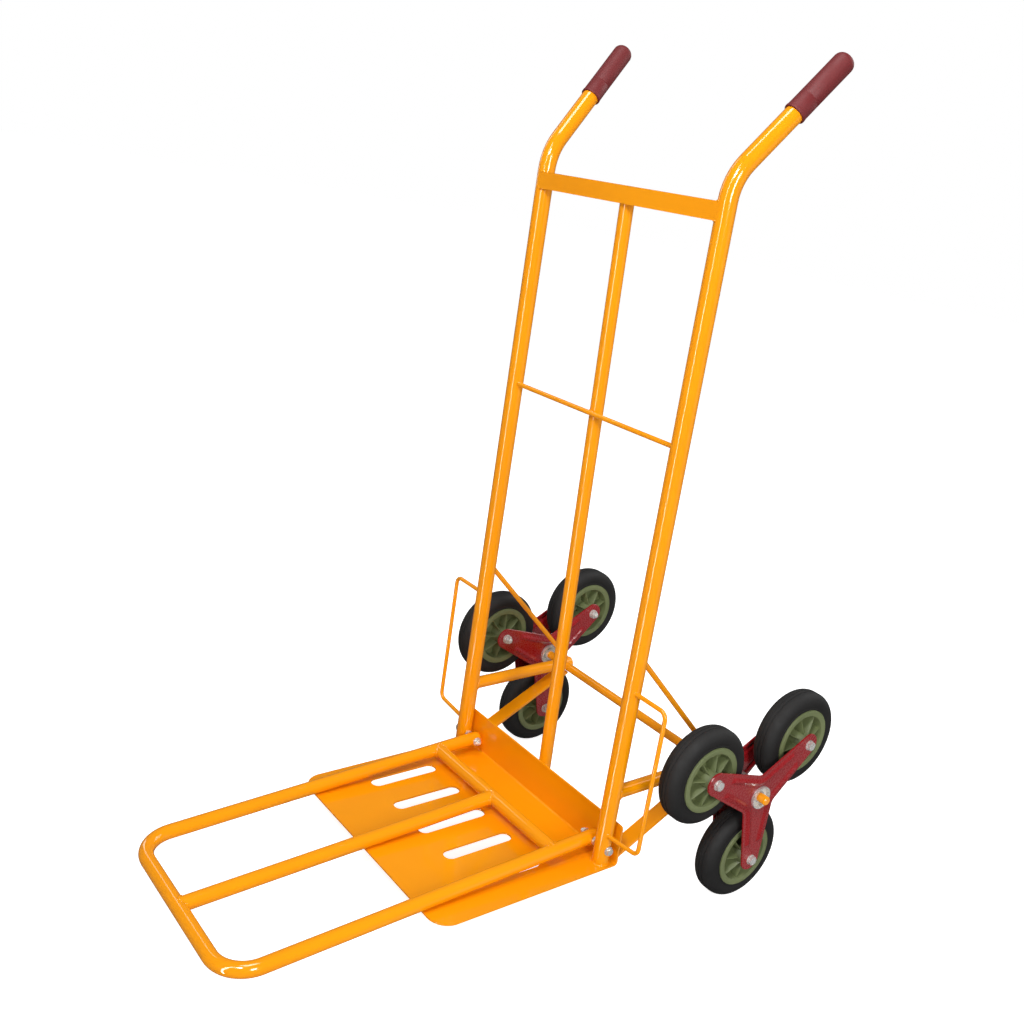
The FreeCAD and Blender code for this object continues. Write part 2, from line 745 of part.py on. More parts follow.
def loop_path(sketch):
    """Path of the loop's axis, from the right rail's tail round the front to the left's."""
    radius = dim("loop_corner_radius")
    tail = dim("rail_tail")
    front = -dim("loop_reach") - tail
    corner = math.sqrt(0.5) * radius
    turn_y = front + radius
    turn_x = RAIL_X - radius
    right = V(turn_x, turn_y, 0)
    left = V(-turn_x, turn_y, 0)
    sketch.addGeometry(Part.LineSegment(V(RAIL_X, 0, 0), V(RAIL_X, turn_y, 0)))
    sketch.addGeometry(Part.Arc(V(RAIL_X, turn_y, 0), right + V(corner, -corner, 0),
                                V(turn_x, front, 0)))
    sketch.addGeometry(Part.LineSegment(V(turn_x, front, 0), V(-turn_x, front, 0)))
    sketch.addGeometry(Part.Arc(V(-turn_x, front, 0), left + V(-corner, -corner, 0),
                                V(-RAIL_X, turn_y, 0)))
    sketch.addGeometry(Part.LineSegment(V(-RAIL_X, turn_y, 0), V(-RAIL_X, 0, 0)))


def make_loop(doc):
    body = new_body(doc, "extension_loop_tube")
    path = new_sketch(body, "extension_loop_path")
    loop_path(path)
    profile = new_sketch(body, "extension_loop_profile", "XZ_Plane")
    for radius, expression, name in ((RAIL_R, "Dims.rail_diameter / 2", "outside"),
                                     (RAIL_R - dim("thin_wall"),
                                      "Dims.rail_diameter / 2 - Dims.thin_wall", "inside")):
        add_circle(profile, radius, expression, name, x=RAIL_X)
    pipe = body.newObject("PartDesign::AdditivePipe", "extension_loop_pipe")
    pipe.Profile = profile
    pipe.Spine = path
    body.Placement = FreeCAD.Placement(V(0, dim("rail_tail"), 0), FreeCAD.Rotation())
    across = V(RAIL_X + 2 * RAIL_R, 0, 0)
    holes = cylinder(doc, "extension_pivot_holes", V() - across, across,
                     "Dims.pivot_bolt_diameter / 2 + Dims.running_clearance")
    set_down(cut(doc, "extension_loop", body, holes), "extension_loop", EXTENSION)


def make_extension_tubes(doc):
    """Centre tube and cross tube, coped to the loop and to each other."""
    outer = "Dims.rail_diameter / 2"
    inner = outer + " - Dims.thin_wall"
    back = V(0, -dim("loop_cross_reach"), 0)
    front = V(0, -dim("loop_reach"), 0)
    wide = V(RAIL_X, 0, 0)

    def bar(name, start, end):
        return cylinder(doc, name, start, end, outer)

    centre = ring(doc, "extension_centre", back, front, outer, inner)
    copes = [bar("extension_centre_cope_back", back - wide, back + wide),
             bar("extension_centre_cope_front", front - wide, front + wide)]
    set_down(cut(doc, "extension_centre_tube", centre, *copes),
             "extension_centre_tube", EXTENSION)
    cross = ring(doc, "extension_cross", back - wide, back + wide, outer, inner)
    rails = [bar("extension_cross_cope_%s" % name, V(side * RAIL_X, 0, 0),
                 V(side * RAIL_X, 2 * back.y, 0)) for name, side in SIDES]
    set_down(cut(doc, "extension_cross_tube", cross, *rails), "extension_cross_tube", EXTENSION)


def make_rail_caps(doc):
    """Domed plugs that close the rails' ends."""
    caps = []
    for name, side in SIDES:
        dome = doc.addObject("Part::Sphere", name + "_rail_dome")
        bind(dome, Radius="Dims.rail_diameter / 2")
        dome.Angle1 = 0
        dome.Placement = FreeCAD.Placement(V(side * RAIL_X, dim("rail_tail"), 0),
                                           facing(V(0, 1, 0)))
        caps.append(dome)
    set_down(compound(doc, "rail_end_caps", caps), "rail_end_caps", EXTENSION)


# ---- wheel clusters ------------------------------------------------------------------------

def polar(radius, degrees):
    """A point in a star plate's sketch; zero degrees is along the sketch's horizontal axis."""
    angle = math.radians(degrees)
    return V(radius * math.cos(angle), radius * math.sin(angle), 0)


def waist_geometry(arm, hand):
    """Waist fillet's centre beside an arm, and the unit normal from it to the arm's edge.

    hand is +1 for the waist on the arm's left and -1 for the one on its right.
    """
    tip = polar(dim("arm_radius"), 120 * arm)
    centre = polar(dim("star_waist_radius") + dim("star_waist_fillet"), 120 * arm + 60 * hand)
    line = tip - centre
    lean = math.asin((dim("star_tip_radius") + dim("star_waist_fillet")) / line.Length)
    away = FreeCAD.Rotation(Z_DIR, -hand * math.degrees(math.pi / 2 - lean))
    normal = away.multVec(line.normalize())
    return centre, normal


def star_outline(sketch):
    """Three arms with round tips, joined by waist fillets."""
    tip_radius = dim("star_tip_radius")
    fillet = dim("star_waist_fillet")
    for arm in range(3):
        tip = polar(dim("arm_radius"), 120 * arm)
        ends = {}
        for hand in (-1, 1):
            centre, normal = waist_geometry(arm, hand)
            ends[hand] = tip - normal * tip_radius
            sketch.addGeometry(Part.LineSegment(ends[hand], centre + normal * fillet))
        summit = polar(dim("arm_radius") + tip_radius, 120 * arm)
        sketch.addGeometry(Part.Arc(ends[-1], summit, ends[1]))
        centre, first = waist_geometry(arm, 1)
        second = waist_geometry(arm + 1, -1)[1]
        waist = polar(dim("star_waist_radius"), 120 * arm + 60)
        sketch.addGeometry(Part.Arc(centre + first * fillet, waist, centre + second * fillet))


def bead_outlines(sketch):
    """A V-shaped band beside each waist, with round ends."""
    near = dim("star_waist_fillet") + dim("bead_inset") - dim("bead_width") / 2
    far = near + dim("bead_width")
    leg = dim("bead_leg")
    for arm in range(3):
        centre, first = waist_geometry(arm, 1)
        second = waist_geometry(arm + 1, -1)[1]
        inward = polar(-1, 120 * arm + 60)
        for normal, hand in ((first, 1), (second, -1)):
            along = FreeCAD.Rotation(Z_DIR, 90 * hand).multVec(normal)
            for radius in (near, far):
                root = centre + normal * radius
                sketch.addGeometry(Part.LineSegment(root, root + along * leg))
            middle = centre + normal * ((near + far) / 2)
            round_end = middle + along * (leg + dim("bead_width") / 2)
            sketch.addGeometry(Part.Arc(centre + normal * near + along * leg, round_end,
                                        centre + normal * far + along * leg))
        for radius in (near, far):
            sketch.addGeometry(Part.Arc(centre + first * radius, centre + inward * radius,
                                        centre + second * radius))


def make_star(doc, label, placement):
    """Pressed plate: its flat faces the wheels and its beads stand on the other face."""
    body = new_body(doc, label + "_body")
    outline = new_sketch(body, label + "_outline")
    star_outline(outline)
    hub = dim("hub_tube_diameter") / 2
    add_circle(outline, hub, "Dims.hub_tube_diameter / 2", "hub")
    for arm in range(3):
        centre = polar(dim("arm_radius"), 120 * arm)
        add_circle(outline, dim("wheel_bolt_diameter") / 2 + 0.2,
                   "Dims.wheel_bolt_diameter / 2 + 0.2", "bolt_%d" % arm, centre.x, centre.y)
    pad(body, outline, "Dims.star_thickness")
    beads = new_sketch(body, label + "_beads")
    beads.AttachmentOffset = FreeCAD.Placement(V(0, 0, dim("star_thickness")),
                                               FreeCAD.Rotation())
    bead_outlines(beads)
    raised = pad(body, beads, "Dims.bead_rise")
    doc.recompute()
    top = dim("star_thickness") + dim("bead_rise")

    def crest(edge):
        box = edge.BoundBox
        return abs(box.ZMin - top) < 0.01 and abs(box.ZMax - top) < 0.01

    round_edges(body, raised, crest, "Dims.bead_rise - 0.2")
    set_down(body, label, placement)


def cluster_frame(side):
    """Placement whose +X points outward along the axle, with arm 0 along -Z when unturned."""
    centre = AXLE + X_DIR * (side * dim("cluster_centre"))
    return FreeCAD.Placement(centre, rotation_x(dim("cluster_turn")))


def star_placement(side, outward):
    """A star plate's sketch plane faces outward or inward, its first arm along arm 0."""
    face = X_DIR * (side * outward)
    arm = V(0, 0, -1)
    across = face.cross(arm)
    turn = FreeCAD.Rotation(arm, across, face, "XZY")
    offset = face * (dim("star_gap") / 2)
    return cluster_frame(side).multiply(FreeCAD.Placement(offset, turn))


def arm_point(side, arm, distance):
    """A point on a wheel's axis in the cluster's frame, at a distance outward."""
    place = rotation_x(120 * arm).multVec(V(0, 0, -dim("arm_radius")))
    return place + X_DIR * (side * distance)


def make_cluster_hub(doc, name, side):
    """Hub tube through both plates, with a plain bush in each end."""
    half = X_DIR * (dim("hub_tube_length") / 2)
    outer = "Dims.hub_tube_diameter / 2"
    bore = outer + " - Dims.hub_tube_wall"
    tube = ring(doc, name + "_hub_tube", -half, half, outer, bore)
    set_down(tube, name + "_hub_tube", cluster_frame(side))
    far = dim("hub_tube_length") / 2 - dim("hub_bush_recess")
    near = far - dim("hub_bush_length")
    bushes = [ring(doc, "%s_hub_bush_%d" % (name, number), X_DIR * (end * near),
                   X_DIR * (end * far), bore, "Dims.axle_diameter / 2 + Dims.running_clearance")
              for number, end in enumerate((-1, 1))]
    set_down(compound(doc, name + "_hub_bushes", bushes), name + "_hub_bushes",
             cluster_frame(side))


def make_cluster_fasteners(doc, name, side):
    """Bolt, sleeve, nut and two washers on each arm; the bolt heads are outside."""
    plate = dim("star_gap") / 2 + dim("star_thickness")
    seat = plate + dim("washer_thickness")
    head_end = seat + dim("wheel_bolt_head")
    nut_end = seat + dim("wheel_nut_height")
    shank = "Dims.wheel_bolt_diameter / 2"
    flats = "Dims.wheel_bolt_flats"
    groups = {"bolts": [], "nuts": [], "washers": [], "sleeves": []}
    for arm in range(3):
        tag = "%s_arm_%d" % (name, arm)

        def at(distance):
            return arm_point(side, arm, distance)

        head = hexagon(doc, tag + "_head", at(seat), at(head_end), flats)
        rod = cylinder(doc, tag + "_shank", at(-nut_end - dim("wheel_bolt_tip")), at(seat),
                       shank)
        groups["bolts"].append(fuse(doc, tag + "_bolt", head, rod))
        collar = cylinder(doc, tag + "_nut_collar", at(-nut_end), at(-seat),
                          "Dims.wheel_bolt_flats / 2 - 0.6")
        blank = hexagon(doc, tag + "_nut_hex", at(2 - nut_end), at(-seat), flats)
        whole = fuse(doc, tag + "_nut_blank", collar, blank)
        bore = cylinder(doc, tag + "_nut_bore", at(-nut_end - 1), at(1 - seat), shank)
        groups["nuts"].append(cut(doc, tag + "_nut", whole, bore))
        for end in (-1, 1):
            groups["washers"].append(
                ring(doc, "%s_washer_%d" % (tag, end + 1), at(end * plate), at(end * seat),
                     "Dims.washer_diameter / 2", shank))
        half_gap = dim("star_gap") / 2
        groups["sleeves"].append(ring(doc, tag + "_sleeve", at(-half_gap), at(half_gap),
                                      "Dims.sleeve_diameter / 2", shank + " + 0.2"))
    for kind, members in groups.items():
        label = "%s_wheel_%s" % (name, kind)
        set_down(compound(doc, label, members), label, cluster_frame(side))


# ---- wheels --------------------------------------------------------------------------------

def tyre_section(sketch):
    """Half section of the solid tyre: axis horizontal, two grooves, toes narrower than walls."""
    inner = dim("rim_diameter") / 2
    outer = dim("tyre_diameter") / 2
    half = dim("tyre_width") / 2
    shoulder = dim("tyre_shoulder")
    bead = half - 1
    groove = dim("tread_groove_width") / 2
    middle = dim("tread_groove_offset")
    floor = outer - dim("tread_groove_depth")
    crown = half - shoulder
    wall_low = inner + 5
    wall_high = outer - shoulder
    tread = [(crown, outer), (middle + groove, outer), (middle + groove, floor),
             (middle - groove, floor), (middle - groove, outer)]
    tread = tread + [(-x, r) for x, r in reversed(tread)]
    for start, end in zip(tread, tread[1:]):
        sketch.addGeometry(Part.LineSegment(V(*start, 0), V(*end, 0)))
    sketch.addGeometry(Part.LineSegment(V(-bead, inner, 0), V(bead, inner, 0)))
    bulge = shoulder * math.sqrt(0.5)
    for hand in (-1, 1):
        toe = V(hand * bead, inner, 0)
        wall = V(hand * half, wall_low, 0)
        top = V(hand * half, wall_high, 0)
        edge = V(hand * crown, outer, 0)
        sketch.addGeometry(Part.LineSegment(toe, wall))
        sketch.addGeometry(Part.LineSegment(wall, top))
        sketch.addGeometry(Part.Arc(top, V(hand * (crown + bulge), wall_high + bulge, 0), edge))


def rim_section(sketch):
    """Half section of the rim without its ribs: hub, web and ring."""
    bore = dim("wheel_bush_diameter") / 2
    hub = dim("rim_hub_diameter") / 2
    hub_half = dim("rim_hub_length") / 2
    web = dim("rim_web") / 2
    ring_inner = dim("rim_ring_inner") / 2
    ring_outer = dim("rim_diameter") / 2
    ring_half = dim("rim_ring_width") / 2
    draft = 1.0
    right = [(hub_half, bore), (hub_half, hub - draft), (web, hub), (web, ring_inner - draft),
             (ring_half, ring_inner), (ring_half, ring_outer)]
    left = [(-x, r) for x, r in reversed(right)]
    add_outline(sketch, right + left)


def make_rim(doc, label, placement):
    """Moulded rim: turned section with ribs across both faces of the web."""
    body = new_body(doc, label + "_body")
    section = new_sketch(body, label + "_section")
    rim_section(section)
    revolve(body, section)
    hub = dim("rim_hub_diameter") / 2 - 0.5
    edge = dim("rim_ring_inner") / 2 + 0.5
    rib_low = dim("rim_hub_length") / 2 - 6
    rib_high = dim("rim_ring_width") / 2 - 3
    rib = new_sketch(body, label + "_rib")
    add_outline(rib, [(-rib_low, hub), (rib_low, hub), (rib_high, edge), (-rib_high, edge)])
    rib_pad = pad(body, rib, "Dims.rim_rib_thickness", midplane=True)
    pattern = body.newObject("PartDesign::PolarPattern", label + "_ribs")
    pattern.Originals = [rib_pad]
    pattern.Axis = (origin_feature(body, "X_Axis"), [""])
    pattern.Angle = 360
    bind(pattern, Occurrences="Dims.rim_rib_count")
    body.Tip = pattern
    set_down(body, label, placement)


def make_tyre(doc, label, placement):
    body = new_body(doc, label + "_body")
    section = new_sketch(body, label + "_section")
    tyre_section(section)
    revolve(body, section)
    set_down(body, label, placement)


def make_wheel(doc, name, side, arm):
    """Tyre, rim and plain bush of one wheel."""
    place = FreeCAD.Placement(wheel_centre(side, arm), rotation_x(dim("cluster_turn")))
    make_tyre(doc, name + "_tyre", place)
    make_rim(doc, name + "_rim", place)
    half = X_DIR * (dim("rim_hub_length") / 2)
    bush = ring(doc, name + "_bush", -half, half, "Dims.wheel_bush_diameter / 2",
                "Dims.sleeve_diameter / 2 + Dims.running_clearance")
    set_down(bush, name + "_bush", place)


# ---- the whole trolley ---------------------------------------------------------------------

SUBPARTS = []
ARM_NAMES = ("low", "rear", "front")


def build(doc):
    for name, side in SIDES:
        make_upright(doc, name, side)
        make_grip(doc, name, side)
        make_strut(doc, name, side)
        make_brace(doc, name, side)
        make_stay(doc, name, side)
        make_guard(doc, name, side)
    make_top_bar(doc)
    make_centre_tube(doc)
    make_cross_rod(doc)
    make_toe_plate(doc)
    make_axle(doc)
    make_axle_rings(doc)
    make_pivot_fasteners(doc)
    make_loop(doc)
    make_extension_tubes(doc)
    make_rail_caps(doc)
    for name, side in SIDES:
        make_star(doc, name + "_outer_star", star_placement(side, 1))
        make_star(doc, name + "_inner_star", star_placement(side, -1))
        make_cluster_hub(doc, name, side)
        make_cluster_fasteners(doc, name, side)
        for arm, arm_name in enumerate(ARM_NAMES):
            make_wheel(doc, "%s_%s" % (name, arm_name), side, arm)


def check(doc):
    """Stop if any object failed or any sub-part is empty or not valid."""
    for obj in doc.Objects:
        if "Invalid" in obj.State or "Error" in obj.State:
            raise RuntimeError("%s: %s" % (obj.Name, obj.State))
    for obj in SUBPARTS:
        if obj.Shape.isNull() or not obj.Shape.isValid() or not obj.Shape.Solids:
            raise RuntimeError("bad shape: " + obj.Label)


def export():
    os.makedirs("parts", exist_ok=True)
    for obj in SUBPARTS:
        obj.Shape.exportStep(os.path.join("parts", obj.Label + ".step"))


document = FreeCAD.newDocument("stair_climbing_trolley")
make_sheet(document)
build(document)
document.recompute()
check(document)
export()
print("%d sub-parts written" % len(SUBPARTS))
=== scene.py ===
"""Stair climbing trolley: looks, fine geometry, camera and light around the CAD frame."""

import json
import math

import bmesh
import bpy
import numpy as np
from mathutils import Matrix, Vector
from mathutils.geometry import delaunay_2d_cdt


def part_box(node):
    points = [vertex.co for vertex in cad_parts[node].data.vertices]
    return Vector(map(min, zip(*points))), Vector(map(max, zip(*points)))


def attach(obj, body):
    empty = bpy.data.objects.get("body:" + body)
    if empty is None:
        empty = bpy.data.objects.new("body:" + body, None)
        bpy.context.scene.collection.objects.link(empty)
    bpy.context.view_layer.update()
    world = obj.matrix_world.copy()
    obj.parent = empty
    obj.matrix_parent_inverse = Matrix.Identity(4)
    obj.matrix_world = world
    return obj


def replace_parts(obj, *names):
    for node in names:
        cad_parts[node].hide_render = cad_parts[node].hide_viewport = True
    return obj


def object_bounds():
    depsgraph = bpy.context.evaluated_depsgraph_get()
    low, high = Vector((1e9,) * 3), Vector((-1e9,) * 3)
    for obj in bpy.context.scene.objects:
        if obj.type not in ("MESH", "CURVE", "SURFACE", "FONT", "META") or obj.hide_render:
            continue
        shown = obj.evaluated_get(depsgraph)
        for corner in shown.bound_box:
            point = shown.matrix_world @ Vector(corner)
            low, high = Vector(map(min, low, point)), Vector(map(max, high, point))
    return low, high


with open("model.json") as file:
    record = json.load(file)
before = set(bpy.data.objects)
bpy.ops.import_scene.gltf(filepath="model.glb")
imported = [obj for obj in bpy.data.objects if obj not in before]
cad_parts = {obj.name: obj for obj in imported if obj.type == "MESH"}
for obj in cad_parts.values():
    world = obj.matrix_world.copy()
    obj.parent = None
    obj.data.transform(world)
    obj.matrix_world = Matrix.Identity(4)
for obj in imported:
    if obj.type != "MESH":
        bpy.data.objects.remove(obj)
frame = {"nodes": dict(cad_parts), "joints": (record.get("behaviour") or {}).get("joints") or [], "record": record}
CAD_BOX = [list(corner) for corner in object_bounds()]
NODES = frame["nodes"]
RECORD = frame["record"]
SIDES = (("left", -1), ("right", 1))
ARMS = ("low", "rear", "front")
JOINTS = {joint["name"]: joint for joint in frame["joints"]}
X_AXIS = Vector((1, 0, 0))
MM = 0.001


# ---- shader helpers ------------------------------------------------------------------------

class Shader:
    """A material's node tree with short calls for the nodes used here."""

    def __init__(self, name):
        self.material = bpy.data.materials.new(name)
        self.material.use_nodes = True
        self.tree = self.material.node_tree
        self.surface = self.tree.nodes["Principled BSDF"]
        coordinates = self.tree.nodes.new("ShaderNodeTexCoord")
        self.place = coordinates.outputs["Object"]

    def join(self, value, socket):
        """Link an output, or write a plain value, to an input socket."""
        if isinstance(value, bpy.types.NodeSocket):
            self.tree.links.new(value, socket)
        else:
            socket.default_value = value

    def set(self, **values):
        for name, value in values.items():
            self.join(value, self.surface.inputs[name.replace("_", " ")])

    def noise(self, scale, detail=3.0, roughness=0.5, place=None):
        node = self.tree.nodes.new("ShaderNodeTexNoise")
        node.inputs["Scale"].default_value = scale
        node.inputs["Detail"].default_value = detail
        node.inputs["Roughness"].default_value = roughness
        self.join(place or self.place, node.inputs["Vector"])
        return node.outputs["Fac"]

    def cells(self, scale, place=None):
        node = self.tree.nodes.new("ShaderNodeTexVoronoi")
        node.inputs["Scale"].default_value = scale
        self.join(place or self.place, node.inputs["Vector"])
        return node.outputs["Distance"]

    def stretched(self, x, y, z):
        node = self.tree.nodes.new("ShaderNodeMapping")
        node.inputs["Scale"].default_value = (x, y, z)
        self.join(self.place, node.inputs["Vector"])
        return node.outputs["Vector"]

    def ramp(self, value, low, high, start=0.0, end=1.0):
        """Map start..end of a value to low..high, held beyond the ends."""
        node = self.tree.nodes.new("ShaderNodeMapRange")
        self.join(value, node.inputs["Value"])
        for name, number in (("From Min", start), ("From Max", end),
                             ("To Min", low), ("To Max", high)):
            node.inputs[name].default_value = number
        return node.outputs["Result"]

    def mix(self, share, first, second):
        node = self.tree.nodes.new("ShaderNodeMix")
        node.data_type = "RGBA"
        self.join(share, node.inputs["Factor"])
        self.join(first, node.inputs[6])
        self.join(second, node.inputs[7])
        return node.outputs[2]

    def maths(self, kind, first, second=0.0):
        node = self.tree.nodes.new("ShaderNodeMath")
        node.operation = kind
        self.join(first, node.inputs[0])
        self.join(second, node.inputs[1])
        return node.outputs[0]

    def bump(self, height, strength, distance):
        node = self.tree.nodes.new("ShaderNodeBump")
        node.inputs["Strength"].default_value = strength
        node.inputs["Distance"].default_value = distance
        self.join(height, node.inputs["Height"])
        self.join(node.outputs["Normal"], self.surface.inputs["Normal"])


def rgb(red, green, blue):
    return (red, green, blue, 1.0)


# ---- materials -----------------------------------------------------------------------------

def paint_material(name, colour, deep, gloss, scuff):
    """Powder coat: orange peel, slightly uneven colour, and dull rubbed patches."""
    shader = Shader(name)
    cloud = shader.noise(9.0, 4.0)
    shade = shader.ramp(cloud, 0.0, 1.0, 0.35, 0.65)
    base = shader.mix(shade, rgb(*deep), rgb(*colour))
    rubbed = shader.ramp(shader.noise(38.0, 6.0, 0.62), 0.0, 1.0, 0.60, 0.72)
    base = shader.mix(shader.maths("MULTIPLY", rubbed, 0.10), base, rgb(*scuff))
    peel = shader.noise(420.0, 2.0)
    rough = shader.maths("ADD", shader.ramp(peel, gloss, gloss + 0.03, 0.3, 0.7),
                         shader.maths("MULTIPLY", rubbed, 0.05))
    shader.set(Base_Color=base, Roughness=rough, IOR=1.5, Coat_Weight=0.4,
               Coat_Roughness=0.04)
    shader.bump(peel, 0.02, 0.0003)
    return shader.material


def rubber_material(name, colour, dusty, gloss, dust):
    """Moulded rubber: fine grain, and pale dust in patches."""
    shader = Shader(name)
    grain = shader.noise(900.0, 2.0)
    patch = shader.ramp(shader.noise(26.0, 5.0, 0.65), 0.0, 1.0, 0.42, 0.74)
    base = shader.mix(shader.maths("MULTIPLY", patch, dust), rgb(*colour), rgb(*dusty))
    rough = shader.ramp(patch, gloss, gloss + 0.18)
    shader.set(Base_Color=base, Roughness=rough, IOR=1.52)
    shader.bump(grain, 0.12, 0.0005)
    return shader.material


def plastic_material(name, colour, deep, gloss):
    """Moulded plastic: faint flow marks and a fine satin grain."""
    shader = Shader(name)
    flow = shader.ramp(shader.noise(14.0, 3.0), 0.0, 1.0, 0.3, 0.7)
    speck = shader.ramp(shader.cells(260.0), 0.0, 1.0, 0.05, 0.5)
    base = shader.mix(flow, rgb(*deep), rgb(*colour))
    base = shader.mix(shader.maths("MULTIPLY", speck, 0.06), base, rgb(*deep))
    rough = shader.ramp(shader.noise(300.0), gloss, gloss + 0.12, 0.3, 0.7)
    shader.set(Base_Color=base, Roughness=rough, IOR=1.49)
    shader.bump(shader.noise(650.0, 2.0), 0.08, 0.0004)
    return shader.material


def zinc_material(name):
    """Bright zinc plate: fine brushed lines, cloudy gloss and a few dull spots."""
    shader = Shader(name)
    lines = shader.noise(160.0, 4.0, 0.6, shader.stretched(6.0, 1.0, 1.0))
    cloud = shader.ramp(shader.noise(70.0, 3.0), 0.0, 1.0, 0.35, 0.65)
    base = shader.mix(cloud, rgb(0.70, 0.69, 0.66), rgb(0.84, 0.83, 0.80))
    rough = shader.maths("ADD", shader.ramp(lines, 0.16, 0.30, 0.3, 0.7),
                         shader.maths("MULTIPLY", cloud, 0.06))
    shader.set(Base_Color=base, Roughness=rough, Metallic=0.6)
    shader.bump(lines, 0.10, 0.0003)
    return shader.material


MATERIALS = {
    "frame_paint": paint_material("orange_powder_coat", (0.95, 0.34, 0.002),
                                  (0.92, 0.32, 0.002), 0.09, (0.93, 0.36, 0.008)),
    "star_paint": paint_material("dark_red_powder_coat", (0.32, 0.008, 0.011),
                                 (0.27, 0.006, 0.009), 0.26, (0.30, 0.03, 0.03)),
    "grip": rubber_material("dark_red_rubber", (0.15, 0.008, 0.010), (0.16, 0.02, 0.02),
                            0.58, 0.18),
    "tyre": rubber_material("black_tyre_rubber", (0.006, 0.0055, 0.0055), (0.018, 0.016, 0.014),
                            0.68, 0.25),
    "rim": plastic_material("sage_plastic", (0.175, 0.205, 0.085), (0.14, 0.17, 0.068), 0.45),
    "bush": plastic_material("nylon", (0.74, 0.73, 0.68), (0.64, 0.62, 0.55), 0.30),
    "zinc": zinc_material("bright_zinc"),
}


def dress(obj, slot):
    """Give an object the one material of a record slot."""
    obj.data.materials.clear()
    obj.data.materials.append(MATERIALS[slot])


for entry in RECORD["subparts"]:
    node = NODES[entry["node"]]
    dress(node, entry["material_slot"])
    node.data.polygons.foreach_set("use_smooth", [True] * len(node.data.polygons))
    node.data.set_sharp_from_angle(angle=math.radians(32))


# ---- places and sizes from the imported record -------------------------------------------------

MOUNTS = {mount["name"]: mount for mount in RECORD["mounts"]}
PLATE_UP = -Vector(MOUNTS["toe_plate_underside"]["axis"]).normalized()
PLATE_BACK = PLATE_UP.cross(X_AXIS).normalized()
UPRIGHT_LEAN = math.radians(1.5)
UPRIGHT_UP = PLATE_UP * math.cos(UPRIGHT_LEAN) + PLATE_BACK * math.sin(UPRIGHT_LEAN)
UPRIGHT_RADIUS = 12.7 * MM
PIVOT = Vector(JOINTS["extension_hinge"]["pos_m"])
HUB = {side: Vector(JOINTS[side + "_cluster_spin"]["pos_m"]) for side, _ in SIDES}


def wheel_place(side, arm):
    return Vector(JOINTS["%s_%s_wheel_spin" % (side, arm)]["pos_m"])


ARM_OUT = (wheel_place("right", "low") - HUB["right"]).normalized()
ARM_REACH = (wheel_place("right", "low") - HUB["right"]).length


def node_size(name):
    low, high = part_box(name)
    return high - low


# ---- mesh helpers --------------------------------------------------------------------------

def new_object(name, vertices, faces, body, slot, sharp=32):
    """A piece in the row frame that rides on a body and has a record slot's material."""
    mesh = bpy.data.meshes.new(name)
    mesh.from_pydata([tuple(v) for v in vertices], [], faces)
    mesh.validate()
    shape = bmesh.new()
    shape.from_mesh(mesh)
    bmesh.ops.recalc_face_normals(shape, faces=shape.faces)
    shape.to_mesh(mesh)
    shape.free()
    mesh.polygons.foreach_set("use_smooth", [True] * len(mesh.polygons))
    mesh.set_sharp_from_angle(angle=math.radians(sharp))
    piece = bpy.data.objects.new(name, mesh)
    bpy.context.scene.collection.objects.link(piece)
    mesh.materials.append(MATERIALS[slot])
    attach(piece, body)
    return piece


def frame_along(start, direction, reference):
    """Matrix whose local X runs along a direction, with local Z near a reference."""
    along = Vector(direction).normalized()
    across = Vector(reference).cross(along).normalized()
    third = along.cross(across)
    matrix = Matrix((along, across, third)).transposed().to_4x4()
    matrix.translation = start
    return matrix


class Shape:
    """Vertices and faces gathered from several closed parts."""

    def __init__(self):
        self.vertices = []
        self.faces = []

    def add(self, vertices, faces, matrix=None):
        first = len(self.vertices)
        for vertex in vertices:
            point = Vector(vertex)
            self.vertices.append(matrix @ point if matrix is not None else point)
        self.faces.extend([[first + index for index in face] for face in faces])

    def make(self, name, body, slot, sharp=32):
        return new_object(name, self.vertices, self.faces, body, slot, sharp)


def ring_faces(rings, sides, closed):
    """Quads between successive rings of vertices; closed joins the last ring to the first."""
    faces = []
    last = rings if closed else rings - 1
    for ring in range(last):
        other = (ring + 1) % rings
        for side in range(sides):
            after = (side + 1) % sides
            faces.append([ring * sides + side, ring * sides + after,
                          other * sides + after, other * sides + side])
    return faces


def lathe(profile, sides, closed=True):
    """Turn a profile of (x, radius) points about X.  An open one gets end caps."""
    vertices = []
    for x, radius in profile:
        for side in range(sides):
            angle = 2 * math.pi * side / sides
            vertices.append((x, radius * math.cos(angle), radius * math.sin(angle)))
    faces = ring_faces(len(profile), sides, closed)
    if not closed:
        faces.append(list(range(sides)))
        last = (len(profile) - 1) * sides
        faces.append(list(range(last, last + sides)))
    return vertices, faces


def arc(centre_x, centre_y, radius, start, end, steps):
    """Points on an arc, degrees, both ends included."""
    points = []
    for step in range(steps + 1):
        angle = math.radians(start + (end - start) * step / steps)
        points.append((centre_x + radius * math.cos(angle),
                       centre_y + radius * math.sin(angle)))
    return points


def mirrored(profile):
    """A profile's points followed by their mirror images in x = 0, in reverse."""
    return profile + [(-x, radius) for x, radius in reversed(profile)]


# ---- tyres ---------------------------------------------------------------------------------

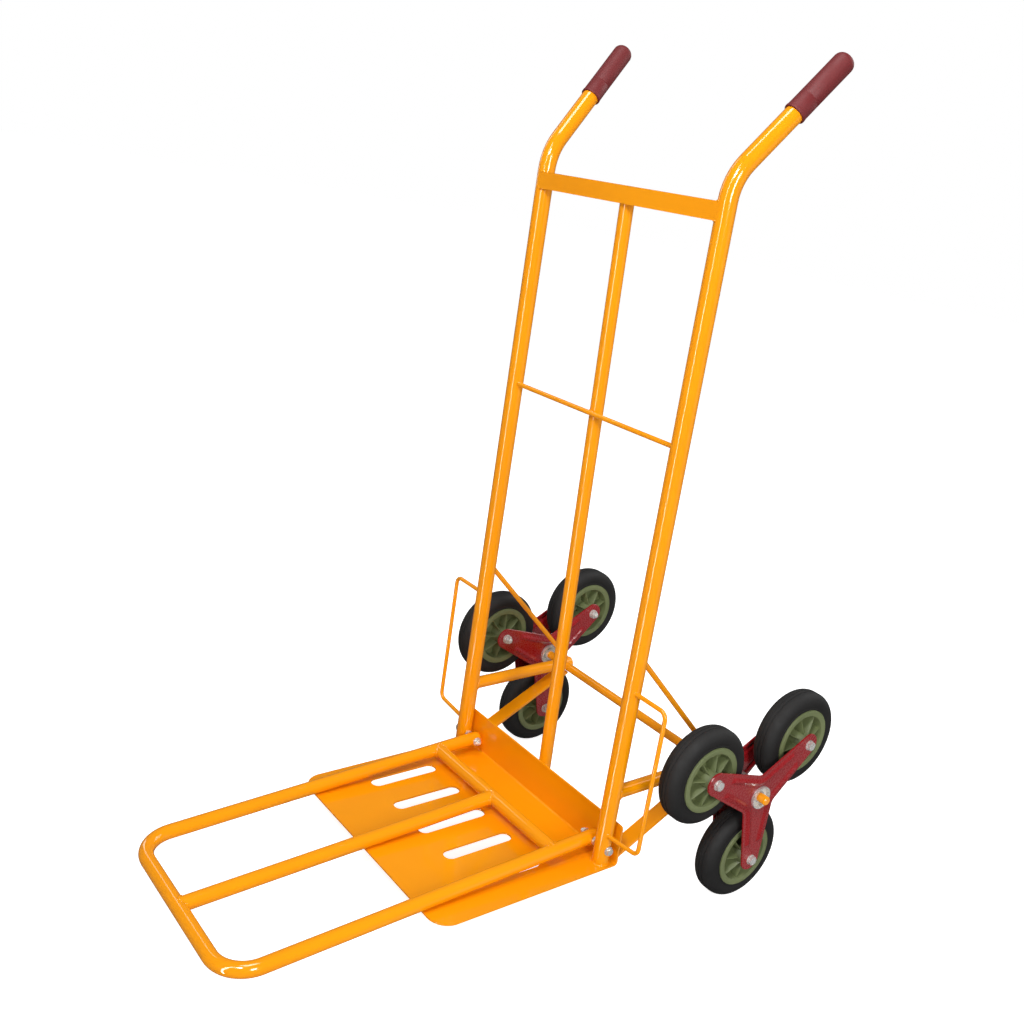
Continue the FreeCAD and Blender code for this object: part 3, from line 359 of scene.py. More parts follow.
def tyre_profile(outer, inner, half):
    """Solid tyre: full round shoulders, faint grooves, and side walls stepped at the rim."""
    bead = half - 1.2 * MM
    groove_middle = 3.0 * MM
    tread = []
    for x, drop in ((0.9, 0.0), (0.65, 0.8), (0.3, 1.0), (-0.3, 1.0), (-0.65, 0.8), (-0.9, 0.0)):
        tread.append((groove_middle + x * MM, outer - drop * MM))
    tread.append((0.3 * MM, outer))
    shoulder_radius = 13.6 * MM
    shoulder = arc(half - shoulder_radius, outer - shoulder_radius, shoulder_radius, 2, 88, 16)
    wall = [
        (bead, inner),
        (bead + 0.3 * MM, inner + 0.3 * MM),
        (bead + 0.6 * MM, inner + 1.2 * MM),
        (bead + 0.6 * MM, inner + 2.4 * MM),
        (bead + 0.2 * MM, inner + 2.9 * MM),
        (bead + 0.2 * MM, inner + 3.6 * MM),
        (bead + 0.7 * MM, inner + 4.6 * MM),
        (half - 0.2 * MM, inner + 7.0 * MM),
        (half, inner + 9.2 * MM),
    ]
    return mirrored(wall + shoulder + tread)


def add_tyres():
    size = node_size("right_low_tyre")
    outer = size.z / 2
    half = size.x / 2
    inner = node_size("right_low_rim").z / 2
    vertices, faces = lathe(tyre_profile(outer, inner, half), 168)
    for side, _ in SIDES:
        for arm in ARMS:
            shape = Shape()
            shape.add(vertices, faces, Matrix.Translation(wheel_place(side, arm)))
            name = "%s_%s_tyre" % (side, arm)
            piece = shape.make(name + "_moulded", "%s_%s_wheel" % (side, arm), "tyre", sharp=28)
            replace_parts(piece, name)


# ---- rims ----------------------------------------------------------------------------------

RIM_RIBS = 8
RIM_RING_INNER = 41.6 * MM
RIM_RING_HALF = 19.4 * MM
RIM_HUB_RADIUS = 15.0 * MM
RIM_HUB_BORE = 9.0 * MM
RIM_WEB_HALF = 2.0 * MM
RIM_TURN = math.radians(20.5)


def rim_profile(outer, hub_half):
    """Half of the turned section, from the hub's bore out to the tyre seat."""
    soft = 0.6 * MM
    hub = [
        (hub_half, RIM_HUB_BORE),
        (hub_half, RIM_HUB_BORE + 2.6 * MM),
        (hub_half - soft, RIM_HUB_BORE + 2.6 * MM + soft),
        (hub_half - 4.0 * MM, RIM_HUB_RADIUS - 1.3 * MM),
        (RIM_WEB_HALF + 2.0 * MM, RIM_HUB_RADIUS),
        (RIM_WEB_HALF + 0.6 * MM, RIM_HUB_RADIUS + 0.5 * MM),
        (RIM_WEB_HALF, RIM_HUB_RADIUS + 2.0 * MM),
    ]
    ring = [
        (RIM_WEB_HALF, RIM_RING_INNER - 3.4 * MM),
        (RIM_WEB_HALF + 0.7 * MM, RIM_RING_INNER - 2.0 * MM),
        (RIM_WEB_HALF + 2.2 * MM, RIM_RING_INNER - 1.3 * MM),
        (RIM_RING_HALF - 0.7 * MM, RIM_RING_INNER),
        (RIM_RING_HALF - 0.2 * MM, RIM_RING_INNER + 0.2 * MM),
        (RIM_RING_HALF, RIM_RING_INNER + 0.8 * MM),
        (RIM_RING_HALF, outer - 2.4 * MM),
        (RIM_RING_HALF - 0.5 * MM, outer - 1.9 * MM),
        (RIM_RING_HALF - 0.5 * MM, outer - 1.2 * MM),
        (RIM_RING_HALF - 0.1 * MM, outer - 0.9 * MM),
        (RIM_RING_HALF - 0.1 * MM, outer),
    ]
    return mirrored(hub + ring)


def rim_rib(shape, angle, hub_half):
    """One thin rib with drafted sides and a rounded crest, on both faces of the web."""
    low = RIM_HUB_RADIUS - 1.5 * MM
    high = RIM_RING_INNER + 0.6 * MM
    steps = 3
    vertices = []
    for step in range(steps + 1):
        share = step / steps
        radius = low + (high - low) * share
        reach = (hub_half - 6.0 * MM) * (1 - share) + (RIM_RING_HALF - 3.4 * MM) * share
        for x, half in ((reach - 0.5 * MM, 0.62 * MM), (reach, 0.34 * MM),
                        (reach, -0.34 * MM), (reach - 0.5 * MM, -0.62 * MM),
                        (0, -1.0 * MM),
                        (-reach + 0.5 * MM, -0.62 * MM), (-reach, -0.34 * MM),
                        (-reach, 0.34 * MM), (-reach + 0.5 * MM, 0.62 * MM), (0, 1.0 * MM)):
            vertices.append((x, half, radius))
    faces = ring_faces(steps + 1, 10, False)
    faces.append(list(range(10)))
    faces.append(list(range(steps * 10, steps * 10 + 10)))
    shape.add(vertices, faces, Matrix.Rotation(angle, 4, "X"))


def add_rims():
    size = node_size("right_low_rim")
    hub_half = size.x / 2
    vertices, faces = lathe(rim_profile(size.z / 2, hub_half), 120)
    local = Shape()
    local.add(vertices, faces)
    for rib in range(RIM_RIBS):
        rim_rib(local, 2 * math.pi * rib / RIM_RIBS, hub_half)
    for side, _ in SIDES:
        for number, arm in enumerate(ARMS):
            shape = Shape()
            turn = Matrix.Rotation(RIM_TURN * number, 4, "X")
            place = Matrix.Translation(wheel_place(side, arm)) @ turn
            shape.add(local.vertices, local.faces, place)
            name = "%s_%s_rim" % (side, arm)
            piece = shape.make(name + "_moulded", "%s_%s_wheel" % (side, arm), "rim", sharp=35)
            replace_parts(piece, name)


# ---- star plates ---------------------------------------------------------------------------

STAR_TIP = 18.0 * MM
STAR_WAIST = 37.0 * MM
STAR_FILLET = 14.0 * MM
STAR_THICKNESS = 3.0 * MM
STAR_EDGE = 0.6 * MM
BEAD_INSET = 10.0 * MM
BEAD_HALF = 5.6 * MM
BEAD_RISE = 3.4 * MM
BEAD_LEG = 57.0 * MM
BEAD_CREST = 0.15
HUB_HOLE = 18.0 * MM
BOLT_HOLE = 4.2 * MM
STAR_MESH_STEP = 2.1 * MM
STAR_MESH_ROW = 0.866


def polar(radius, degrees):
    angle = math.radians(degrees)
    return Vector((radius * math.cos(angle), radius * math.sin(angle)))


def turned(vector, degrees):
    angle = math.radians(degrees)
    cosine = math.cos(angle)
    sine = math.sin(angle)
    return Vector((vector.x * cosine - vector.y * sine, vector.x * sine + vector.y * cosine))


def waist(arm, hand):
    """Waist fillet's centre beside an arm, and the normal from it to the arm's edge."""
    tip = polar(ARM_REACH, 120 * arm)
    centre = polar(STAR_WAIST + STAR_FILLET, 120 * arm + 60 * hand)
    line = tip - centre
    lean = math.degrees(math.asin((STAR_TIP + STAR_FILLET) / line.length))
    return centre, turned(line.normalized(), -hand * (90 - lean))


def swept(centre, start, end, steps):
    """Points on the shorter arc about a centre between two offsets of equal length."""
    angle = math.atan2(start.x * end.y - start.y * end.x, start.dot(end))
    return [centre + turned(start, math.degrees(angle) * step / steps)
            for step in range(steps + 1)]


def straight(start, end, steps):
    return [start.lerp(end, step / steps) for step in range(1, steps)]


def star_loop(inset):
    """Outline of a star plate, moved inward by an inset; always the same number of points."""
    tip_radius = STAR_TIP - inset
    fillet = STAR_FILLET + inset
    points = []
    for arm in range(3):
        tip = polar(ARM_REACH, 120 * arm)
        right_normal = waist(arm, -1)[1]
        left_centre, left_normal = waist(arm, 1)
        start = -right_normal * tip_radius
        summit = polar(tip_radius, 120 * arm)
        end = -left_normal * tip_radius
        points += swept(tip, start, summit, 10)
        points += swept(tip, summit, end, 10)[1:]
        edge = left_centre + left_normal * fillet
        points += straight(tip + end, edge, 30)
        next_normal = waist(arm + 1, -1)[1]
        inward = polar(-fillet, 120 * arm + 60)
        points += swept(left_centre, left_normal * fillet, inward, 8)
        points += swept(left_centre, inward, next_normal * fillet, 8)[1:]
        following = polar(ARM_REACH, 120 * (arm + 1)) - next_normal * tip_radius
        points += straight(left_centre + next_normal * fillet, following, 30)
    return points


def bead_height(point):
    """Height of the pressing at a point: a ridge with its steeper side away from the waist."""
    radius = STAR_FILLET + BEAD_INSET
    tallest = 0.0
    for arm in range(3):
        centre, first = waist(arm, 1)
        second = waist(arm + 1, -1)[1]
        for normal, hand in ((first, 1), (second, -1)):
            along = turned(normal, 90 * hand)
            offset = point - centre - normal * radius
            run = offset.dot(along)
            if run >= 0:
                beyond = max(0.0, run - BEAD_LEG)
                tallest = max(tallest, ridge(offset.dot(normal), beyond))
        away = point - centre
        spread = math.degrees(first.angle(second)) / 2
        inward = polar(-1, 120 * arm + 60)
        if away.length > 0 and math.degrees(away.angle(inward)) <= spread:
            tallest = max(tallest, ridge(away.length - radius, 0.0))
    return tallest


def ridge(across, beyond):
    """Ridge height across a bead, and beyond the end of its leg."""
    share = across / BEAD_HALF
    side = (share + 1) / (BEAD_CREST + 1) if share < BEAD_CREST else (1 - share) / (1 - BEAD_CREST)
    level = min(max(side, 0.0), max(0.0, 1 - beyond / BEAD_HALF))
    return BEAD_RISE * level * level * (3 - 2 * level)


def circle_loop(centre, radius, steps):
    return [centre + polar(radius, 360 * step / steps) for step in range(steps)]


def star_mesh():
    """Pressed plate in its own plane: x and y in the plane, z outward from the wheel side."""
    holes = [(Vector((0, 0)), HUB_HOLE, 48)]
    holes += [(polar(ARM_REACH, 120 * arm), BOLT_HOLE, 24) for arm in range(3)]
    rim_inset = [star_loop(STAR_EDGE)]
    rim_outer = [star_loop(0.0)]
    for centre, radius, steps in holes:
        rim_inset.append(circle_loop(centre, radius + STAR_EDGE, steps))
        rim_outer.append(circle_loop(centre, radius, steps))
    points = []
    edges = []
    for loop in rim_inset:
        first = len(points)
        count = len(loop)
        points += loop
        edges += [(first + index, first + (index + 1) % count) for index in range(count)]
    guard = 1.3 * MM
    outline = np.array([tuple(p) for p in rim_inset[0]])
    step = STAR_MESH_STEP
    reach = ARM_REACH + STAR_TIP
    rows = int(2 * reach / (step * STAR_MESH_ROW)) + 1
    for row in range(rows):
        y = -reach + row * step * STAR_MESH_ROW
        shift = 0.5 * step * (row % 2)
        for column in range(int(2 * reach / step) + 1):
            point = Vector((-reach + column * step + shift, y))
            if not inside(outline, point, guard):
                continue
            if any((point - centre).length < radius + STAR_EDGE + guard
                   for centre, radius, _ in holes):
                continue
            points.append(point)
    flat, _, triangles, origins, _, _ = delaunay_2d_cdt(points, edges, [], 0, 1e-7)
    keep = []
    for triangle in triangles:
        middle = sum((flat[index] for index in triangle), Vector((0, 0))) / 3
        if not inside(outline, middle, 0.0):
            continue
        if any((middle - centre).length < radius + STAR_EDGE * 0.9
               for centre, radius, _ in holes):
            continue
        keep.append(list(triangle))
    lookup = {}
    for index, sources in enumerate(origins):
        for source in sources:
            lookup[source] = index
    vertices = []
    count = len(flat)
    for point in flat:
        vertices.append((point.x, point.y, STAR_THICKNESS + bead_height(point)))
    for point in flat:
        vertices.append((point.x, point.y, bead_height(point)))
    faces = list(keep) + [[index + count for index in reversed(face)] for face in keep]
    first = 0
    for inset, outer in zip(rim_inset, rim_outer):
        size = len(outer)
        high = len(vertices)
        vertices += [(p.x, p.y, STAR_THICKNESS - STAR_EDGE) for p in outer]
        low = len(vertices)
        vertices += [(p.x, p.y, STAR_EDGE) for p in outer]
        for index in range(size):
            after = (index + 1) % size
            top = lookup[first + index]
            top_after = lookup[first + after]
            faces.append([top, top_after, high + after, high + index])
            faces.append([high + index, high + after, low + after, low + index])
            faces.append([low + index, low + after, top_after + count, top + count])
        first += size
    return vertices, faces


def inside(outline, point, margin):
    """True if a point is inside an outline and at least a margin from its vertices."""
    x, y = point.x, point.y
    xs, ys = outline[:, 0], outline[:, 1]
    nxs, nys = np.roll(xs, -1), np.roll(ys, -1)
    crosses = (ys > y) != (nys > y)
    with np.errstate(divide="ignore", invalid="ignore"):
        at = (nxs - xs) * (y - ys) / (nys - ys) + xs
    odd = np.count_nonzero(crosses & (x < at)) % 2 == 1
    if not odd or margin == 0.0:
        return odd
    return np.min(np.hypot(xs - x, ys - y)) > margin


def add_stars():
    vertices, faces = star_mesh()
    for side, sign in SIDES:
        for name, outward in (("outer", 1), ("inner", -1)):
            node = "%s_%s_star" % (side, name)
            face = X_AXIS * (sign * outward)
            across = face.cross(ARM_OUT)
            matrix = Matrix((ARM_OUT, across, face)).transposed().to_4x4()
            low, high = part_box(node)
            near = min(abs(low.x), abs(high.x)) if outward > 0 else max(abs(low.x), abs(high.x))
            matrix.translation = Vector((sign * near, HUB[side].y, HUB[side].z))
            shape = Shape()
            shape.add(vertices, faces, matrix)
            piece = shape.make(node + "_pressed", side + "_cluster", "star_paint", sharp=40)
            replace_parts(piece, node)


# ---- grips ---------------------------------------------------------------------------------

GRIP_RADIUS = 14.5 * MM
GRIP_COLLAR_RADIUS = 15.1 * MM
GRIP_WALL = 7.0 * MM


def grip_profile(length):
    """Moulded sleeve from the bottom of its blind bore, out of the open end, to the tip."""
    bore = UPRIGHT_RADIUS
    outer = GRIP_RADIUS
    collar = GRIP_COLLAR_RADIUS
    points = [(length - GRIP_WALL, 0.2 * MM), (length - GRIP_WALL, bore), (0.5 * MM, bore),
              (0, bore + 0.5 * MM), (0, collar - 0.8 * MM), (0.25 * MM, collar - 0.25 * MM),
              (0.8 * MM, collar), (3.4 * MM, collar), (4.6 * MM, collar - 0.35 * MM),
              (6.6 * MM, outer + 0.12 * MM), (26.0 * MM, outer), (26.5 * MM, outer - 0.3 * MM),
              (27.5 * MM, outer - 0.3 * MM), (28.0 * MM, outer), (50.0 * MM, outer)]
    flat = 4.5 * MM
    dome = outer - flat
    points += [(length - dome + x, flat + y) for x, y in arc(0, 0, dome, 90, 12, 12)]
    points += [(length - 0.2 * MM, flat - 1.0 * MM), (length, 0.2 * MM)]
    return points


def middle_of(values):
    return (values.min() + values.max()) / 2


def add_grips():
    """Each sleeve lies along its CAD sleeve's long axis."""
    for side, _ in SIDES:
        node = side + "_grip"
        points = np.array([tuple(v.co) for v in NODES[node].data.vertices])
        _, _, axes = np.linalg.svd(points - points.mean(axis=0))
        along = axes[0] if axes[0][2] > 0 else -axes[0]
        across = np.cross(along, (1, 0, 0))
        across /= np.linalg.norm(across)
        third = np.cross(along, across)
        runs = points @ along
        start = (along * runs.min() + across * middle_of(points @ across)
                 + third * middle_of(points @ third))
        vertices, faces = lathe(grip_profile(runs.max() - runs.min()), 72, closed=False)
        shape = Shape()
        shape.add(vertices, faces, frame_along(Vector(start), along, X_AXIS))
        piece = shape.make(node + "_moulded", "frame", "grip", sharp=50)
        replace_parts(piece, node)


# ---- bolts and nuts ------------------------------------------------------------------------

def hex_radius(angle, flats):
    """Distance from a hexagon's middle to its side at an angle, in radians."""
    sector = math.radians(60)
    return flats / 2 / math.cos((angle % sector) - sector / 2)


def hex_part(shape, matrix, start, end, flats):
    """Hexagon between start and end along local X, with a turned chamfer at its end face."""
    sides = 72
    corner = flats / 2 / math.cos(math.radians(30))
    slope = math.tan(math.radians(30))
    face = flats / 2 * 0.95
    washer = 0.4 * MM

    def chamfered(at, inward):
        ring = []
        for side in range(sides):
            angle = 2 * math.pi * side / sides
            radius = hex_radius(angle, flats)
            x = at + inward * (radius - face) * slope
            ring.append((x, radius * math.cos(angle), radius * math.sin(angle)))
        return ring

    def disc(at, radius):
        return [(at, radius * math.cos(2 * math.pi * side / sides),
                 radius * math.sin(2 * math.pi * side / sides)) for side in range(sides)]

    rings = [disc(start, face), disc(start + washer, face)]
    rings += [[(start + washer, y, z) for _, y, z in chamfered(start, 0)]]
    rings += [chamfered(end, -1), disc(end, face)]
    rings += [disc(end, face * 0.80), disc(end - 0.15 * MM, face * 0.76)]
    vertices = [vertex for ring in rings for vertex in ring]
    faces = ring_faces(len(rings), sides, False)
    faces.append(list(range(sides)))
    last = (len(rings) - 1) * sides
    faces.append(list(range(last, last + sides)))
    shape.add(vertices, faces, matrix)


def thread_part(shape, matrix, start, end, radius, pitch):
    """Threaded rod between two places along local X, with a chamfered tip at its end."""
    sides = 24
    rows = 5
    depth = 0.55 * pitch
    count = max(4, int(rows * abs(end - start) / pitch))
    vertices = []
    for row in range(count + 1):
        x = start + (end - start) * row / count
        to_tip = abs(end - x)
        limit = radius - max(0.0, 0.8 * MM - to_tip)
        for side in range(sides):
            turn = side / sides
            phase = (abs(x - start) / pitch + turn) % 1.0
            tooth = abs(2 * phase - 1)
            reach = min(radius - depth * (1 - tooth), limit)
            angle = 2 * math.pi * turn
            vertices.append((x, reach * math.cos(angle), reach * math.sin(angle)))
    faces = ring_faces(count + 1, sides, False)
    faces.append(list(range(sides)))
    faces.append(list(range(count * sides, count * sides + sides)))
    shape.add(vertices, faces, matrix)


def spin(matrix, degrees):
    return matrix @ Matrix.Rotation(math.radians(degrees), 4, "X")


WHEEL_BOLT_RADIUS = 4.0 * MM
WHEEL_BOLT_FLATS = 13.0 * MM
WHEEL_BOLT_PITCH = 1.25 * MM
PIVOT_BOLT_RADIUS = 3.0 * MM
PIVOT_BOLT_FLATS = 10.0 * MM
PIVOT_BOLT_PITCH = 1.0 * MM
THREAD_START = 1.0 * MM
SHANK_OVERLAP = 0.5 * MM


def bolt(shape, matrix, seat, head_end, nut_face, tip, radius, flats, pitch):
    """Hexagon head on its seat, plain shank, and a thread that starts inside the nut's face."""
    hex_part(shape, matrix, seat, head_end, flats)
    thread_part(shape, matrix, nut_face + THREAD_START, tip, radius, pitch)
    shank, faces = lathe([(nut_face + THREAD_START, radius),
                          (seat + SHANK_OVERLAP, radius)], 32, closed=False)
    shape.add(shank, faces, matrix)


def outward_range(node, sign):
    """Nearest and farthest distance of a node from the trolley's middle, on one side."""
    points = [v.co.x * sign for v in NODES[node].data.vertices if v.co.x * sign > 0]
    return min(points), max(points)


def add_wheel_fasteners():
    for side, sign in SIDES:
        bolts = Shape()
        nuts = Shape()
        tip, head_end = outward_range(side + "_wheel_bolts", sign)
        nut_end, nut_face = outward_range(side + "_wheel_nuts", sign)
        seat = outward_range(side + "_wheel_washers", sign)[1]
        for number, arm in enumerate(ARMS):
            centre = wheel_place(side, arm)
            origin = Vector((0, centre.y, centre.z))
            matrix = spin(frame_along(origin, X_AXIS * sign, (0, 0, 1)), 17 * number + 8)
            bolt(bolts, matrix, seat, head_end, nut_face, tip, WHEEL_BOLT_RADIUS,
                 WHEEL_BOLT_FLATS, WHEEL_BOLT_PITCH)
            lock_nut(nuts, spin(matrix, 23), nut_face, nut_end, WHEEL_BOLT_FLATS,
                     WHEEL_BOLT_RADIUS)
        body = side + "_cluster"
        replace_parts(bolts.make(side + "_wheel_bolts_threaded", body, "zinc", sharp=25),
                    side + "_wheel_bolts")
        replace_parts(nuts.make(side + "_wheel_lock_nuts", body, "zinc", sharp=25),
                    side + "_wheel_nuts")


def lock_nut(shape, matrix, face, end, flats, bolt_radius):
    """Nut whose hexagon sits at its face, with a rounded collar at its far end."""
    sides = 72
    towards = 1 if end > face else -1
    corner_face = flats / 2 * 0.95
    slope = math.tan(math.radians(30))
    hex_length = abs(end - face) * 0.70
    collar = flats / 2 - 0.7 * MM

    def chamfered(at, inward):
        ring = []
        for side in range(sides):
            angle = 2 * math.pi * side / sides
            radius = hex_radius(angle, flats)
            x = at + towards * inward * (radius - corner_face) * slope
            ring.append((x, radius * math.cos(angle), radius * math.sin(angle)))
        return ring

    def disc(along, radius):
        x = face + towards * along
        return [(x, radius * math.cos(2 * math.pi * side / sides),
                 radius * math.sin(2 * math.pi * side / sides)) for side in range(sides)]

    full = abs(end - face)
    rings = [disc(0, bolt_radius), disc(0, corner_face), chamfered(face, 1),
             chamfered(face + towards * hex_length, -1), disc(hex_length, corner_face),
             disc(hex_length, collar), disc(full - 0.9 * MM, collar),
             disc(full - 0.3 * MM, collar - 0.25 * MM), disc(full, collar - 0.9 * MM),
             disc(full, bolt_radius + 0.9 * MM), disc(full - 0.5 * MM, bolt_radius + 0.5 * MM),
             disc(full - 0.5 * MM, bolt_radius)]
    vertices = [vertex for ring in rings for vertex in ring]
    shape.add(vertices, ring_faces(len(rings), sides, True), matrix)


def add_pivot_fasteners():
    bolts = Shape()
    nuts = Shape()
    for number, (side, sign) in enumerate(SIDES):
        tip, head_end = outward_range("pivot_bolts", sign)
        nut_end, nut_face = outward_range("pivot_nuts", sign)
        seat = outward_range("pivot_washers", sign)[1]
        matrix = spin(frame_along(PIVOT, X_AXIS * sign, (0, 0, 1)), 11 + 25 * number)
        bolt(bolts, matrix, seat, head_end, nut_face, tip, PIVOT_BOLT_RADIUS,
             PIVOT_BOLT_FLATS, PIVOT_BOLT_PITCH)
        lock_nut(nuts, matrix, nut_face, nut_end, PIVOT_BOLT_FLATS, PIVOT_BOLT_RADIUS)
    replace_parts(bolts.make("pivot_bolts_threaded", "frame", "zinc", sharp=25), "pivot_bolts")
    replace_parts(nuts.make("pivot_lock_nuts", "frame", "zinc", sharp=25), "pivot_nuts")


# ---- weld beads ----------------------------------------------------------------------------

UPRIGHT_X = sum(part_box("right_strut"), Vector()).x / 2
PIVOT_RISE = 28.0 * MM
PLATE_THICKNESS = 3.0 * MM
STRUT_RADIUS = 10.0 * MM
AXLE_RADIUS = 7.0 * MM
AXLE_POINT = Vector((0, HUB["right"].y, HUB["right"].z))
AXLE_BACK = (AXLE_POINT - PIVOT).dot(PLATE_BACK)
AXLE_RISE = (AXLE_POINT - PIVOT).dot(PLATE_UP)
RAIL_RADIUS = 10.5 * MM
RAIL_X = 155.0 * MM
ROD_RADIUS = 3.5 * MM
STAY_RADIUS = 4.0 * MM
GUARD_RADIUS = 3.25 * MM
GUARD_FORWARD = 4.0 * MM
GUARD_START = 40.0 * MM
GUARD_RUN = 28.0 * MM
GUARD_ENDS = ((283.5 * MM, 0.0), (53.2 * MM, 5.51))
STAY_TOP = 336.0 * MM
STAY_FOOT_BACK = 8.0 * MM
FLANGE_BACK = 18.767 * MM
FLANGE_WELD_LOW = 16.0 * MM
FLANGE_WELD_HIGH = 62.0 * MM
BRACE_WELD_RISES = (13.6 * MM, 8.2 * MM)
TUBE_BEAD = 1.5 * MM
EDGE_BEAD = 1.4 * MM
ROD_BEAD = 0.9 * MM
RIPPLE_LENGTH = 1.5 * MM


def spot(x, back, rise):
    """A point in the trolley's own axes: distances from the pivot, backward and upward."""
    return Vector((x, PIVOT.y, PIVOT.z)) + PLATE_BACK * back + PLATE_UP * rise


def bead_line(shape, points, radius, closed):
    """A rippled weld bead along a line of points."""
    lengths = [0.0]
    count = len(points)
    pairs = list(zip(points, points[1:]))
    for first, second in pairs:
        lengths.append(lengths[-1] + (second - first).length)
    total = lengths[-1] + ((points[0] - points[-1]).length if closed else 0.0)
    steps = max(8, int(total / (RIPPLE_LENGTH / 4)))
    lengths_full = lengths + ([total] if closed else [])
    points_full = list(points) + ([points[0]] if closed else [])
    xs = np.array([tuple(p) for p in points_full])
    at = np.linspace(0, total, steps, endpoint=not closed)
    line = np.stack([np.interp(at, lengths_full, xs[:, axis]) for axis in range(3)], axis=1)
    if closed:
        tangents = np.roll(line, -1, axis=0) - np.roll(line, 1, axis=0)
    else:
        tangents = np.gradient(line, axis=0)
    sides = 10
    vertices = []
    up = Vector((0.31, 0.42, 0.85))
    for index in range(steps):
        tangent = Vector(tangents[index]).normalized()
        across = tangent.cross(up).normalized()
        if index:
            across = (previous - tangent * previous.dot(tangent)).normalized()
        previous = across
        third = tangent.cross(across)
        phase = (at[index] / RIPPLE_LENGTH) % 1.0
        swell = 0.86 + 0.14 * math.sqrt(max(0.0, 1 - (2 * phase - 1) ** 2))
        wander = 1 + 0.06 * math.sin(at[index] * 900) + 0.05 * math.sin(at[index] * 2300 + 1)
        taper = 1.0
        if not closed:
            taper = min(1.0, 0.45 + min(at[index], total - at[index]) / (2 * radius))
        reach = radius * swell * wander * taper
        centre = Vector(line[index])
        for side in range(sides):
            angle = 2 * math.pi * side / sides
            vertices.append(centre + across * (reach * math.cos(angle))
                            + third * (reach * math.sin(angle)))
    faces = ring_faces(steps, sides, closed)
    if not closed:
        faces.append(list(range(sides)))
        faces.append(list(range((steps - 1) * sides, steps * sides)))
    shape.add(vertices, faces)


def saddle(tip, direction, radius, main_point, main_axis, main_radius, steps=48):
    """Where a round branch that starts at tip meets a round main member."""
    along = Vector(direction).normalized()
    axis = Vector(main_axis).normalized()
    across = along.orthogonal().normalized()
    third = along.cross(across)
    points = []
    for step in range(steps):
        angle = 2 * math.pi * step / steps
        start = tip + across * (radius * math.cos(angle)) + third * (radius * math.sin(angle))
        offset = start - main_point
        flat_offset = offset - axis * offset.dot(axis)
        flat_along = along - axis * along.dot(axis)
        a = flat_along.dot(flat_along)
        b = 2 * flat_offset.dot(flat_along)
        c = flat_offset.dot(flat_offset) - main_radius ** 2
        under = max(0.0, b * b - 4 * a * c)
        points.append(start + along * ((-b - math.sqrt(under)) / (2 * a)))
    return points


def upright_at(sign, rise):
    """Point on an upright's axis at a rise above the pivot, along the plate's normal."""
    start = Vector((sign * UPRIGHT_X, PIVOT.y, PIVOT.z))
    return start + UPRIGHT_UP * (rise / UPRIGHT_UP.dot(PLATE_UP))


def weld_foot(shape, sign):
    """Ring round an upright's foot, on top of the toe plate."""
    foot = upright_at(sign, PLATE_THICKNESS - PIVOT_RISE)
    points = []
    for step in range(48):
        angle = 2 * math.pi * step / 48
        points.append(foot + X_AXIS * (UPRIGHT_RADIUS * math.cos(angle))
                      + PLATE_BACK * (UPRIGHT_RADIUS * math.sin(angle)))
    bead_line(shape, points, TUBE_BEAD, True)


def weld_side(shape, sign):
    """Joints of one side's strut, axle, stay and guards."""
    upright = upright_at(sign, 0)
    axle_end = Vector((sign * UPRIGHT_X, AXLE_POINT.y, AXLE_POINT.z))
    bead_line(shape, saddle(axle_end, -PLATE_BACK, STRUT_RADIUS, upright, UPRIGHT_UP,
                            UPRIGHT_RADIUS), 1.6 * MM, True)
    for hand in (-1, 1):
        start = axle_end + X_AXIS * (hand * 30 * MM)
        ring = saddle(start, X_AXIS * -hand, AXLE_RADIUS, axle_end, PLATE_BACK, STRUT_RADIUS)
        bead_line(shape, ring, 1.2 * MM, True)
    stay_top = upright_at(sign, STAY_TOP - PIVOT_RISE)
    stay_foot = axle_end + PLATE_BACK * STAY_FOOT_BACK + PLATE_UP * (STRUT_RADIUS - 2.0 * MM)
    middle = (stay_top + stay_foot) / 2
    slope = stay_top - stay_foot
    bead_line(shape, saddle(middle, slope, STAY_RADIUS, upright, UPRIGHT_UP, UPRIGHT_RADIUS, 32),
              ROD_BEAD, True)
    bead_line(shape, saddle(middle, -slope, STAY_RADIUS, axle_end, PLATE_BACK, STRUT_RADIUS, 32),
              ROD_BEAD, True)
    forward = UPRIGHT_UP.cross(X_AXIS)
    for along_upright, drop in GUARD_ENDS:
        level = upright_at(sign, -PIVOT_RISE) + UPRIGHT_UP * along_upright
        outer = level - forward * GUARD_FORWARD + X_AXIS * (sign * GUARD_START)
        lean = math.radians(drop)
        outer += UPRIGHT_UP * (GUARD_RUN * math.tan(lean))
        inward = -X_AXIS * (sign * math.cos(lean)) - UPRIGHT_UP * math.sin(lean)
        bead_line(shape, saddle(outer, inward, GUARD_RADIUS, upright, UPRIGHT_UP,
                                UPRIGHT_RADIUS, 32), ROD_BEAD, True)


def weld_cross_rod(shape, sign):
    """The cross rod's end on an upright."""
    low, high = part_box("cross_rod")
    middle = (low + high) / 2
    start = Vector((sign * 60 * MM, middle.y, middle.z))
    ring = saddle(start, X_AXIS * sign, ROD_RADIUS, upright_at(sign, 0), UPRIGHT_UP,
                  UPRIGHT_RADIUS, 32)
    bead_line(shape, ring, ROD_BEAD, True)


BAR_HALF = 12.0 * MM
BAR_THICKNESS = 4.0 * MM
BAR_RISE = 939.0 * MM


def bar_spot(x, across, along):
    """A point near the top bar: across is backward from the uprights' plane."""
    middle = upright_at(1, BAR_RISE - PIVOT_RISE)
    back = UPRIGHT_UP.cross(X_AXIS)
    return Vector((x, middle.y, middle.z)) + back * across + UPRIGHT_UP * along


